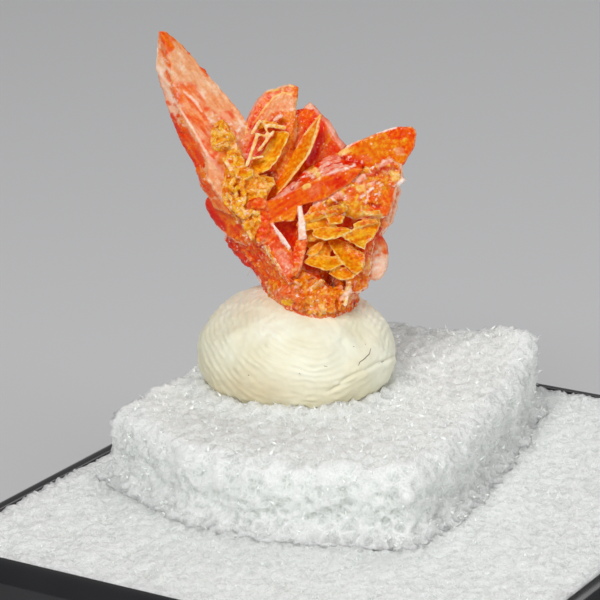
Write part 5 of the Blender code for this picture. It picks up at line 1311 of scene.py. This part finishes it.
class SpecimenSettings(bpy.types.PropertyGroup):
    crystal_voxel: FloatProperty(
        name="Crystal detail", description="Size of the crystals' smallest faces, in millimetres",
        default=0.1, min=0.05, max=0.5)
    ridge_pitch: FloatProperty(
        name="Ridge pitch", description="Distance between the ridges pressed into the putty",
        default=0.00052, min=0.0002, max=0.002, subtype="DISTANCE", unit="LENGTH")
    ridge_height: FloatProperty(
        name="Ridge height", description="Height of the ridges pressed into the putty",
        default=0.00005, min=0.0, max=0.0005, subtype="DISTANCE", unit="LENGTH")
    foam_cell: FloatProperty(
        name="Foam cell", description="Width of the foam's larger cells",
        default=0.0011, min=0.0004, max=0.004, subtype="DISTANCE", unit="LENGTH")
    foam_tufts: IntProperty(
        name="Foam tufts", description="Number of torn films on each piece of foam",
        default=1200, min=0, max=6000)
    putty_colour: FloatVectorProperty(
        name="Putty colour", description="Colour of the putty", default=linear(246, 245, 224),
        size=3, min=0.0, max=1.0, subtype="COLOR")
    foam_colour: FloatVectorProperty(
        name="Foam colour", description="Colour of the foam's films", default=linear(242, 245, 242),
        size=3, min=0.0, max=1.0, subtype="COLOR")
    box_colour: FloatVectorProperty(
        name="Box colour", description="Colour of the box base", default=(0.008, 0.008, 0.009),
        size=3, min=0.0, max=1.0, subtype="COLOR")
    floor_colour: FloatVectorProperty(
        name="Floor colour", description="Colour of the floor", default=(0.62, 0.62, 0.63),
        size=3, min=0.0, max=1.0, subtype="COLOR")


# Operators

# Stray hairs on the flank: points of the drawing
HAIRS = (((-5.4, 3.0, 2.4), (-5.6, 2.8, 2.8), (-5.75, 2.5, 3.0), (-5.9, 2.15, 3.1)),
         ((-5.5, 2.9, 2.4), (-5.45, 2.6, 2.9), (-5.55, 2.35, 3.0)))


class SPECIMEN_OT_tall_blade(bpy.types.Operator):
    """Grow the tall blade and the etched flank under it"""
    bl_idname = "specimen.tall_blade"
    bl_label = "Tall blade"

    def execute(self, context):
        flank = [(-7.7, 5.4), (-6.2, 3.2), (-5.0, 2.2), (-3.0, 0.8), (-2.6, 2.2), (-3.6, 3.6), (-5.0, 5.8)]
        edge = [(-12.9, 17.0), (-12.2, 15.2), (-10.2, 11.4), (-9.2, 8.8), (-8.6, 8.8), (-9.6, 11.6),
                (-11.8, 16.2)]
        strewn = (
            (ETCHED, "block", flank, 120, (0.14, 0.3), 0.9, 3),
            (GLOW, "block", edge, 50, (0.12, 0.24), 0.8, 4),
            (PALE, "tablet", flank, 9, (0.12, 0.2), 0.9, 5))
        grow(tall_blade_parts(), "tall_blade", 1.1, 100, (0.64, -0.77), strewn)
        hairs = join([thread([drawn(*point) for point in points], 0.06) for points in HAIRS])
        material = plain_material("pale_hair", linear(222, 208, 186), 0.5)
        finish_piece(hairs, "hairs", material, "orange_wulfenite", CLUSTER)
        return {"FINISHED"}


class SPECIMEN_OT_middle_blades(bpy.types.Operator):
    """Grow the middle blade, the two behind it and the small plates on it"""
    bl_idname = "specimen.middle_blades"
    bl_label = "Middle blades"

    def execute(self, context):
        valley = [(-8.2, 9.8), (-7.5, 12.6), (-6.7, 13.0), (-6.4, 10.4), (-5.0, 9.2), (-4.6, 8.8),
                  (-4.8, 7.0), (-5.3, 5.1), (-6.2, 6.4), (-7.6, 7.8)]
        under = [(-6.6, 10.4), (-3.4, 10.4), (-3.0, 9.4), (-4.0, 8.8), (-6.2, 9.0)]
        druse = [(-9.0, 12.8), (-8.8, 15.0), (-8.0, 15.3), (-6.8, 13.4), (-7.6, 12.4)]
        strewn = (
            (DRUSE, "tablet", valley, 230, (0.16, 0.34), 0.9, 11),
            (DRUSE, "tablet", under, 60, (0.12, 0.24), 0.9, 12),
            (DRUSE, "tablet", druse, 90, (0.14, 0.28), 0.7, 13),
            (PALE, "tablet", valley, 36, (0.1, 0.2), 0.9, 14))
        grow(middle_blade_parts() + small_plate_parts(), "middle_blades", 0.95, 200, (0.5, 0.87), strewn)
        return {"FINISHED"}


class SPECIMEN_OT_front_bar(bpy.types.Operator):
    """Grow the bar across the front, the recess under it and the plate at the right"""
    bl_idname = "specimen.front_bar"
    bl_label = "Front bar"

    def execute(self, context):
        crest = [(-4.3, 8.4), (-1.6, 9.7), (0.6, 10.9), (3.4, 11.6), (2.4, 12.3), (0.4, 12.0), (-2.0, 10.0)]
        strewn = (
            (PALE, "tablet", crest, 60, (0.12, 0.26), 0.6, 21),
            (GLOW, "block", crest, 60, (0.14, 0.28), 0.8, 22))
        grow(front_parts(), "front_bar", 1.05, 300, (0.87, 0.5), strewn)
        return {"FINISHED"}


class SPECIMEN_OT_brow(bpy.types.Operator):
    """Grow the crumbly brow and the leaf plates in the hollow"""
    bl_idname = "specimen.brow"
    bl_label = "Brow and hollow"

    def execute(self, context):
        brow = [(-1.0, 7.4), (0.8, 8.8), (3.6, 11.0), (6.0, 12.0), (7.0, 11.2), (6.8, 9.8), (5.4, 9.4),
                (4.6, 7.4), (2.0, 7.2)]
        nodules = [(2.2, 8.3), (3.6, 8.3), (3.7, 7.2), (2.2, 7.1)]
        flank = [(3.6, 4.6), (4.4, 5.6), (4.5, 4.0), (4.2, 2.0), (3.4, 1.6), (3.6, 3.0)]
        strewn = (
            (CRUMB, "block", brow, 200, (0.14, 0.34), 0.9, 31),
            (DRUSE, "tablet", brow, 110, (0.14, 0.3), 0.9, 32),
            (PALE, "tablet", brow, 60, (0.12, 0.26), 0.9, 33),
            (DRUSE, "block", nodules, 60, (0.14, 0.26), 0.9, 34),
            (CRUMB, "tablet", flank, 50, (0.14, 0.28), 0.9, 38))
        grow(brow_parts() + leaf_parts(), "brow_and_hollow", 1.0, 400, (0.9, 0.3), strewn)
        return {"FINISHED"}


class SPECIMEN_OT_foot(bpy.types.Operator):
    """Grow the foot that stands in the putty"""
    bl_idname = "specimen.foot"
    bl_label = "Foot"

    def execute(self, context):
        foot = [(-4.8, 1.6), (-3.2, -0.2), (0.2, -1.5), (2.6, -1.4), (4.3, 0.2), (4.6, 2.0), (3.0, 1.9),
                (0.6, 1.6), (-2.0, 1.9)]
        top = [(-3.4, 2.0), (-2.4, 0.8), (2.6, 0.7), (4.2, 1.8), (3.0, 2.0), (0.6, 1.8), (-1.6, 2.2)]
        strewn = (
            (ROOT, "spike", foot, 150, (0.14, 0.26), 0.5, 35, 0.5),
            (ROOT, "tablet", top, 90, (0.14, 0.3), 0.9, 36),
            (PALE, "tablet", foot, 34, (0.1, 0.2), 0.9, 37))
        columns = []
        for k, (x, low, high, slant, width) in enumerate(FOOT_COLUMNS):
            end = (x + slant, high, 6.8 if k else 7.1)
            columns.append(needle(ROOT if k % 3 else STRAW, (x, low, 7.1), end, width, 0.9))
        grow([foot_part()] + columns, "foot", 0.9, 600, (0.1, 0.99), strewn)
        return {"FINISHED"}


class SPECIMEN_OT_rear_blades(bpy.types.Operator):
    """Grow the blades on the back of the cluster"""
    bl_idname = "specimen.rear_blades"
    bl_label = "Rear blades"

    def execute(self, context):
        back = [(-3.0, 3.0), (-6.0, 9.0), (-2.0, 12.0), (4.0, 10.0), (4.0, 3.0), (0.0, 2.0)]
        strewn = ((CRUMB, "tablet", back, 160, (0.2, 0.45), 0.9, 41, 0.3, True),
                  (DRUSE, "block", back, 90, (0.16, 0.32), 0.9, 42, 0.3, True))
        grow(rear_parts(), "rear_blades", 1.5, 500, (0.2, 0.98), strewn)
        return {"FINISHED"}


# On the putty, in the drawing: middles of the finger's print and of a stain, and the line of the fold
PRINT_MIDDLE = (-0.7, -0.3)
STAIN_MIDDLE = (-4.6, -7.0)
PUTTY_FOLD = np.array(((6.4, -4.6), (4.8, -5.3), (3.4, -6.0), (2.4, -6.5), (1.7, -7.1), (0.9, -7.6)))

# Dark fibre and specks that lie on the putty: width (mm) and points of the drawing
PUTTY_FIBRES = (
    (0.07, (4.45, -3.9), (4.3, -4.4), (3.9, -4.8), (3.5, -5.1), (3.25, -5.75)),
    (0.1, (2.95, -3.75), (3.05, -3.8)), (0.1, (3.95, -3.55), (4.0, -3.6)),
    (0.12, (-5.85, -6.15), (-5.75, -6.2)), (0.08, (0.5, -5.4), (0.8, -5.45)),
    (0.06, (5.1, -5.2), (5.5, -5.0)), (0.08, (-1.6, -6.0), (-1.45, -6.1)))


def patch(x, y, middle, width, height):
    """One in the middle of a soft oval patch of the drawing, and nought far from it."""
    return np.exp(-(((x - middle[0]) / width) ** 2 + ((y - middle[1]) / height) ** 2))


def thread(places, width):
    """Thin round thread through the places, tapered at its ends."""
    rings = []
    for k, place in enumerate(places):
        along = (places[min(k + 1, len(places) - 1)] - places[max(k - 1, 0)]).normalized()
        side = along.orthogonal().normalized()
        other = along.cross(side)
        r = width * MM / 2 * (0.5 if k in (0, len(places) - 1) else 1.0)
        rings.append([place + (side * math.cos(a) + other * math.sin(a)) * r
                      for a in (math.tau * j / 5 for j in range(5))])
    return tower(rings)


class SPECIMEN_OT_putty_ball(bpy.types.Operator):
    """Press the ball of putty, with its ridges and its fold"""
    bl_idname = "specimen.putty_ball"
    bl_label = "Putty ball"

    def execute(self, context):
        settings = context.scene.specimen
        deselect_all()
        centre = (PUTTY_AXIS + Vector((0.0, 0.0, PUTTY_CENTRE_HEIGHT))) * MM
        bpy.ops.mesh.primitive_uv_sphere_add(segments=360, ring_count=190, radius=1.0, location=centre)
        obj = bpy.context.object
        obj.scale = (PUTTY_RADIUS * MM, PUTTY_RADIUS * MM, PUTTY_HALF_HEIGHT * MM)
        bpy.ops.object.transform_apply(location=True, rotation=True, scale=True)
        cut_flat((PUTTY_AXIS.z - 0.1) * MM)
        mesh = obj.data
        co = places_of(mesh)
        p = co / MM
        spot = to_drawing(co)
        x, y = spot[:, 0], spot[:, 1]
        bend = (soft_noise(p, 2.4, 61, 3) - 0.5) * 1.1
        from_print = np.hypot(x - PRINT_MIDDLE[0], y - PRINT_MIDDLE[1])
        ridges = np.sin(math.tau * (from_print + bend) / (settings.ridge_pitch / MM))
        smear = smooth_step(0.36, 0.6, soft_noise(p, 1.5, 66, 3))
        # A smooth flat facet beside the print
        across, along = (x - 3.0) * 0.83 - (y + 3.6) * 0.56, (x - 3.0) * 0.56 + (y + 3.6) * 0.83
        facet = np.exp(-((across / 1.3) ** 2 + (along / 2.2) ** 2) ** 2)
        band = smooth_step(2.4, 4.4, from_print)
        smear = np.maximum(smear, patch(x, y, (-0.5, -5.3), 3.0, 1.7))
        smear = smear * (1.0 - patch(x, y, STAIN_MIDDLE, 2.4, 1.6))
        torn = soft_noise(p, 0.45, 68, 2)
        lift = (ridges * (0.4 + torn) * settings.ridge_height / MM * (0.1 + 0.9 * smear) * (1.0 - facet)
                * (0.15 + 0.85 * band))
        lift += (torn - 0.5) * 0.09 * (1.0 - 0.7 * facet)
        lift -= 0.3 * facet * smooth_step(0.0, 2.0, spot[:, 2])
        lift += (soft_noise(p, 2.6, 63, 2) - 0.5) * 0.5 + (soft_noise(p, 0.9, 64, 3) - 0.5) * 0.2
        # A fold: a groove with a swelling along one side
        gap = np.full(len(p), 9.0)
        below = np.zeros(len(p))
        for a, b in zip(PUTTY_FOLD, PUTTY_FOLD[1:]):
            along = b - a
            off, here = from_line(spot[:, :2], a, b)
            below = np.where(here < gap, np.sign(along[0] * off[:, 1] - along[1] * off[:, 0]), below)
            gap = np.minimum(gap, here)
        front = smooth_step(0.0, 2.0, spot[:, 2])
        lift += front * (-0.15 * np.exp(-(gap / 0.14) ** 2)
                         + 0.14 * np.exp(-(gap / 0.8) ** 2) * (below > 0))
        low = smooth_step(0.0, 0.8, p[:, 2] - (PUTTY_AXIS.z - 0.1))
        move_vertices(mesh, co + normals_of(mesh) * (lift * low * MM)[:, None])
        stain_and_shade = patch(x, y, STAIN_MIDDLE, 2.6, 1.3) * (0.5 + smear)
        # Painted shade: a band along the putty's foot, beside the foam, is darkened too
        stain_and_shade += 0.45 * (1.0 - smooth_step(-8.4, -6.2, y + 0.08 * (x - 1.0)))
        write_values(mesh, "stain_and_shade", stain_and_shade)
        tree = tree_of(mesh)
        fibres = join([thread([on_surface(tree, *point)[0] for point in points], width)
                       for width, *points in PUTTY_FIBRES])
        finish_piece(obj, "putty", putty_material(settings), "cream_putty", "putty_ball")
        material = plain_material("dark_fibre", linear(96, 82, 70), 0.5)
        finish_piece(fibres, "putty_fibres", material, "cream_putty", "putty_ball")
        return {"FINISHED"}


def cellular(obj, cell, seed, depth, crest, mask=None):
    """Press open cells into a foam surface; their rims stand up as films. Their wall values paint highlights
    on the rims and shade in the cells' pockets.
    """
    mesh = obj.data
    co = places_of(mesh)
    p = co / MM
    p = p + (soft_noise(p, 1.1, seed + 3, 3)[:, None] - 0.5) * 0.9
    near, far, _ = cell_noise(p, cell, seed)
    small_near, small_far, _ = cell_noise(p, cell * 0.45, seed + 5)
    rim = np.exp(-((far - near) / (cell * 0.16)) ** 2)
    small_rim = np.exp(-((small_far - small_near) / (cell * 0.09)) ** 2)
    bowl = 1.0 - np.clip(near / (cell * 0.62), 0.0, 1.0) ** 2
    ragged = soft_noise(p, 0.5, seed + 9, 2)
    lift = crest * rim * (0.2 + 1.2 * ragged) + 0.5 * crest * small_rim - depth * bowl
    lift += (soft_noise(p, 4.0, seed + 2, 2) - 0.5) * 0.45 + (ragged - 0.5) * 0.25
    if mask is not None:
        lift = lift * mask
    move_vertices(mesh, co + normals_of(mesh) * (lift * MM)[:, None])
    # Painted light: high on the rims as painted highlight, low in the pockets as painted shade
    write_values(mesh, "wall", 0.5 * (1.0 - bowl) + 0.7 * rim * (0.4 + ragged) + 0.4 * small_rim)


def torn_films(obj, count, sizes, seed, keep):
    """Thin torn films that stand up all over a foam surface."""
    rng = random.Random(seed)
    deselect_all()
    bpy.ops.mesh.primitive_cone_add(vertices=3, radius1=0.16, radius2=0.0, depth=1.0,
                                    location=(0.0, 0.0, 0.3))
    film = bpy.context.object
    bpy.ops.object.transform_apply(location=True)
    for vert in film.data.vertices:
        vert.co.x *= 1.9
        vert.co.y *= 0.5

    def stretch():
        wide = rng.uniform(0.6, 1.6)
        return wide, wide, rng.uniform(0.6, 1.3)

    polys = [p for p in obj.data.polygons if keep(p)]
    matrices = []
    for poly in rng.choices(polys, weights=[p.area for p in polys], k=count):
        size = rng.uniform(*sizes) * MM
        matrices.append(planted(rng, poly.center, poly.normal, 0.35, stretch, size))
    copies = many_copies(film, matrices, 0)
    bpy.data.objects.remove(film)
    return copies


class SPECIMEN_OT_foam_liner(bpy.types.Operator):
    """Lay the sheet of foam that fills the box base"""
    bl_idname = "specimen.foam_liner"
    bl_label = "Foam liner"

    def execute(self, context):
        settings = context.scene.specimen
        low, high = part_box("foam_liner")
        deselect_all()
        wide, long = high.x - low.x, high.y - low.y
        lip = 1.2 * MM
        bpy.ops.mesh.primitive_grid_add(x_subdivisions=200, y_subdivisions=240, size=1.0,
                                        location=(0.0, 0.0, high.z))
        obj = bpy.context.object
        obj.scale = (wide + 0.4 * MM, long + 0.4 * MM, 1.0)
        bpy.ops.object.transform_apply(location=True, rotation=True, scale=True)
        cellular(obj, settings.foam_cell / MM * 0.8, 71, 0.1, 0.2)
        with edit_mode():
            bpy.ops.mesh.select_all(action="SELECT")
            bpy.ops.mesh.region_to_loop()
            for drop in (lip, high.z - low.z - lip):
                bpy.ops.mesh.extrude_region_move(TRANSFORM_OT_translate={"value": (0.0, 0.0, -drop)})
            bpy.ops.transform.resize(value=(1.0, 1.0, 0.0))
            bpy.ops.mesh.edge_face_add()
            bpy.ops.mesh.select_all(action="SELECT")
            bpy.ops.mesh.normals_make_consistent(inside=False)

        def on_top(poly):
            return (poly.normal.z > 0.2 and abs(poly.center.x) < wide / 2 - lip
                    and abs(poly.center.y) < long / 2 - lip)

        films = torn_films(obj, settings.foam_tufts, (0.15, 0.42), 73, on_top)
        material = bpy.data.materials.get("foam") or foam_material(settings)
        finish_piece(obj, "liner", material, "white_foam", "foam_liner")
        finish_piece(films, "liner_films", film_material(settings.foam_colour), "white_foam", "foam_liner")
        return {"FINISHED"}


BLOCK_OUTLINE = (
    (-20.0, -9.5), (-14.7, -12.0), (-8.9, -14.6), (-3.8, -14.7), (2.0, -12.8), (8.2, -10.4),
    (8.5, -4.0), (6.4, 8.0), (4.9, 15.2), (2.6, 22.8), (-2.0, 24.2), (-10.5, 23.0),
    (-19.5, 21.5), (-20.3, 6.0))
# Of each ring round the block: its height as a share of the block's, and how far it is set in (mm)
BLOCK_RINGS = ((-0.16, -1.6), (0.0, -1.0), (0.06, -0.4), (0.16, 0.1), (0.3, 0.3), (0.55, 0.05), (0.8, 0.05),
               (0.92, 0.35), (1.0, 1.1))


class SPECIMEN_OT_foam_block(bpy.types.Operator):
    """Tear the block of foam that the putty sits on"""
    bl_idname = "specimen.foam_block"
    bl_label = "Foam block"

    def execute(self, context):
        settings = context.scene.specimen
        low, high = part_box("foam_block")
        outline = jagged(list(BLOCK_OUTLINE), 1.6, 0.3, 5)
        middle = sum((Vector(p) for p in outline), Vector((0.0, 0.0))) / len(outline)
        rings = []
        for share, inset in BLOCK_RINGS:
            z = low.z + share * (high.z - low.z)
            ring = []
            for p in outline:
                arm = Vector(p) - middle
                q = middle + arm * (1.0 - inset / arm.length)
                ring.append(Vector((q.x * MM, q.y * MM, z)))
            rings.append(ring)
        obj = tower(rings)
        fuse(obj, 0.19)
        cut_flat(low.z - 0.5 * MM)
        co = places_of(obj.data)
        # The far corner stands up, and a low collar is pressed up round the putty
        corner = np.exp(-((co[:, 0] / MM - 1.6) ** 2 + (co[:, 1] / MM - 23.0) ** 2) / 20.0)
        co[:, 2] += 1.6 * MM * corner * smooth_step(0.3, 1.0, (co[:, 2] - low.z) / (high.z - low.z))
        collar = np.hypot(co[:, 0] / MM - PUTTY_AXIS.x, co[:, 1] / MM - PUTTY_AXIS.y) - PUTTY_RADIUS + 0.1
        co[:, 2] += 0.55 * MM * np.exp(-(collar / 0.9) ** 2) * (co[:, 2] > high.z - 0.8 * MM)
        move_vertices(obj.data, co)
        # The flat underside stays smooth, and the cells are deepest on the steep sides
        mask = smooth_step(-0.5, -0.3, (co[:, 2] - low.z) / MM)
        steep = 1.0 - smooth_step(0.2, 0.8, normals_of(obj.data)[:, 2])
        cellular(obj, settings.foam_cell / MM * 1.1, 81, 0.22 + 0.06 * steep, 0.24 + 0.04 * steep, mask)
        foot = low.z + 0.2 * MM

        def above_foot(poly):
            return poly.center.z > foot and poly.normal.z > -0.5

        def by_foot(poly):
            return abs(poly.center.z - foot) < 0.4 * MM

        films = join([torn_films(obj, settings.foam_tufts, (0.2, 0.7), 83, above_foot),
                      torn_films(obj, settings.foam_tufts // 6, (0.25, 0.6), 85, by_foot)])
        material = bpy.data.materials.get("foam") or foam_material(settings)
        finish_piece(obj, "block", material, "white_foam", "foam_block")
        finish_piece(films, "block_films", film_material(settings.foam_colour), "white_foam", "foam_block")
        return {"FINISHED"}


# Box base (mm): thickness of its walls, radii of its upright corners outside and inside, easing of its edges
WALL = 2.1
OUTER_CORNER = 1.6
INNER_CORNER = 0.4
EASING = 0.28


def upright_block(low, high, radius, segments):
    """Block between two corners, its upright edges rounded."""
    deselect_all()
    size = high - low
    bpy.ops.mesh.primitive_cube_add(size=1.0, location=(low + high) / 2, scale=size)
    obj = bpy.context.object
    bpy.ops.object.transform_apply(location=True, rotation=True, scale=True)
    mesh = obj.data
    with edit_mode():
        bpy.ops.mesh.select_all(action="DESELECT")
    for edge in mesh.edges:
        a, b = (mesh.vertices[v].co for v in edge.vertices)
        edge.select = abs(a.z - b.z) > 0.5 * size.z
    with edit_mode():
        bpy.ops.mesh.bevel(offset=radius, segments=segments)
    return obj


class SPECIMEN_OT_box_base(bpy.types.Operator):
    """Mould the open box base, with its rim eased"""
    bl_idname = "specimen.box_base"
    bl_label = "Box base"

    def execute(self, context):
        low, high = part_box("box_base")
        obj = upright_block(low, high, OUTER_CORNER * MM, 8)
        wall = Vector((WALL, WALL, 0.0)) * MM
        above = Vector((0.0, 0.0, 5.0)) * MM
        pocket = upright_block(low + wall, high - wall + above, INNER_CORNER * MM, 4)
        pocket.location.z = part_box("foam_liner")[0].z - 0.3 * MM - low.z
        cut = obj.modifiers.new("pocket", "BOOLEAN")
        cut.object = pocket
        cut.solver = "EXACT"
        apply_modifiers(obj)
        bpy.data.objects.remove(pocket)
        obj.data.shade_smooth()
        ease = obj.modifiers.new("ease", "BEVEL")
        ease.width = EASING * MM
        ease.segments = 3
        ease.limit_method = "ANGLE"
        ease.angle_limit = math.radians(50)
        ease.harden_normals = True
        apply_modifiers(obj)
        finish_piece(obj, "base", box_material(context.scene.specimen), "black_plastic", "box_base")
        return {"FINISHED"}


# Soft lights: name, place in metres before the turn to the camera, width in metres and power in watts
LIGHTS = (("key", (-0.16, -0.36, 0.38), 0.22, 1.95), ("fill", (0.4, -0.3, 0.24), 0.4, 0.9),
          ("rim", (0.12, 0.36, 0.44), 0.3, 0.6))
LIT_PLACE = (-0.008, 0.003, 0.028)


class SPECIMEN_OT_stage(bpy.types.Operator):
    """Set the pale floor, the soft lights and the camera"""
    bl_idname = "specimen.stage"
    bl_label = "Stage"

    def execute(self, context):
        scene = context.scene
        settings = scene.specimen
        deselect_all()
        bpy.ops.mesh.primitive_plane_add(size=3.0, location=(0.0, 0.0, 0.0))
        floor = bpy.context.object
        floor.name = "floor"
        floor.data.materials.append(plain_material("floor", settings.floor_colour, 0.7))
        turn = Matrix.Rotation(FAN_TURN, 4, "Z")
        for name, place, size, energy in LIGHTS:
            light = bpy.data.lights.new(name, "AREA")
            light.size = size
            light.energy = energy
            lamp = bpy.data.objects.new(name, light)
            scene.collection.objects.link(lamp)
            lamp.location = turn @ Vector(place)
            aim = Vector(LIT_PLACE) - lamp.location
            lamp.rotation_euler = aim.to_track_quat("-Z", "Y").to_euler()
        world = bpy.data.worlds.new("studio")
        scene.world = world
        world.use_nodes = True
        sky = world.node_tree.nodes["Background"]
        feed(world.node_tree, sky, {"Color": (0.97, 0.98, 0.98, 1.0), "Strength": 0.2})
        camera = bpy.data.cameras.new("camera")
        camera.lens = CAMERA_LENS
        camera.sensor_width = 36.0
        camera.clip_start = 0.001
        camera.clip_end = 10.0
        eye = bpy.data.objects.new("camera", camera)
        scene.collection.objects.link(eye)
        eye.location = CAMERA_PLACE
        eye.rotation_euler = (math.pi / 2 - DRAWING_TILT, 0.0, FAN_TURN)
        scene.camera = eye
        scene.view_settings.view_transform = "Standard"
        return {"FINISHED"}


class SPECIMEN_PT_panel(bpy.types.Panel):
    """Lists the pieces of the specimen"""
    bl_idname = "SPECIMEN_PT_panel"
    bl_label = "Wulfenite specimen"
    bl_space_type = "VIEW_3D"
    bl_region_type = "UI"
    bl_category = "Specimen"

    def draw(self, context):
        settings = context.scene.specimen
        for name in settings.bl_rna.properties.keys():
            if name not in ("rna_type", "name"):
                self.layout.prop(settings, name)
        for operator in PIECES:
            self.layout.operator(operator.bl_idname)


PIECES = (
    SPECIMEN_OT_stage, SPECIMEN_OT_box_base, SPECIMEN_OT_foam_liner, SPECIMEN_OT_foam_block,
    SPECIMEN_OT_putty_ball, SPECIMEN_OT_tall_blade, SPECIMEN_OT_middle_blades,
    SPECIMEN_OT_front_bar, SPECIMEN_OT_brow, SPECIMEN_OT_foot, SPECIMEN_OT_rear_blades)
CLASSES = (SpecimenSettings, *PIECES, SPECIMEN_PT_panel)


def register():
    for cls in CLASSES:
        bpy.utils.register_class(cls)
    bpy.types.Scene.specimen = PointerProperty(type=SpecimenSettings)


def unregister():
    del bpy.types.Scene.specimen
    for cls in reversed(CLASSES):
        bpy.utils.unregister_class(cls)


def main():
    register()
    for piece in PIECES:
        group, name = piece.bl_idname.split(".")
        getattr(getattr(bpy.ops, group), name)()


if __name__ == "__main__":
    main()
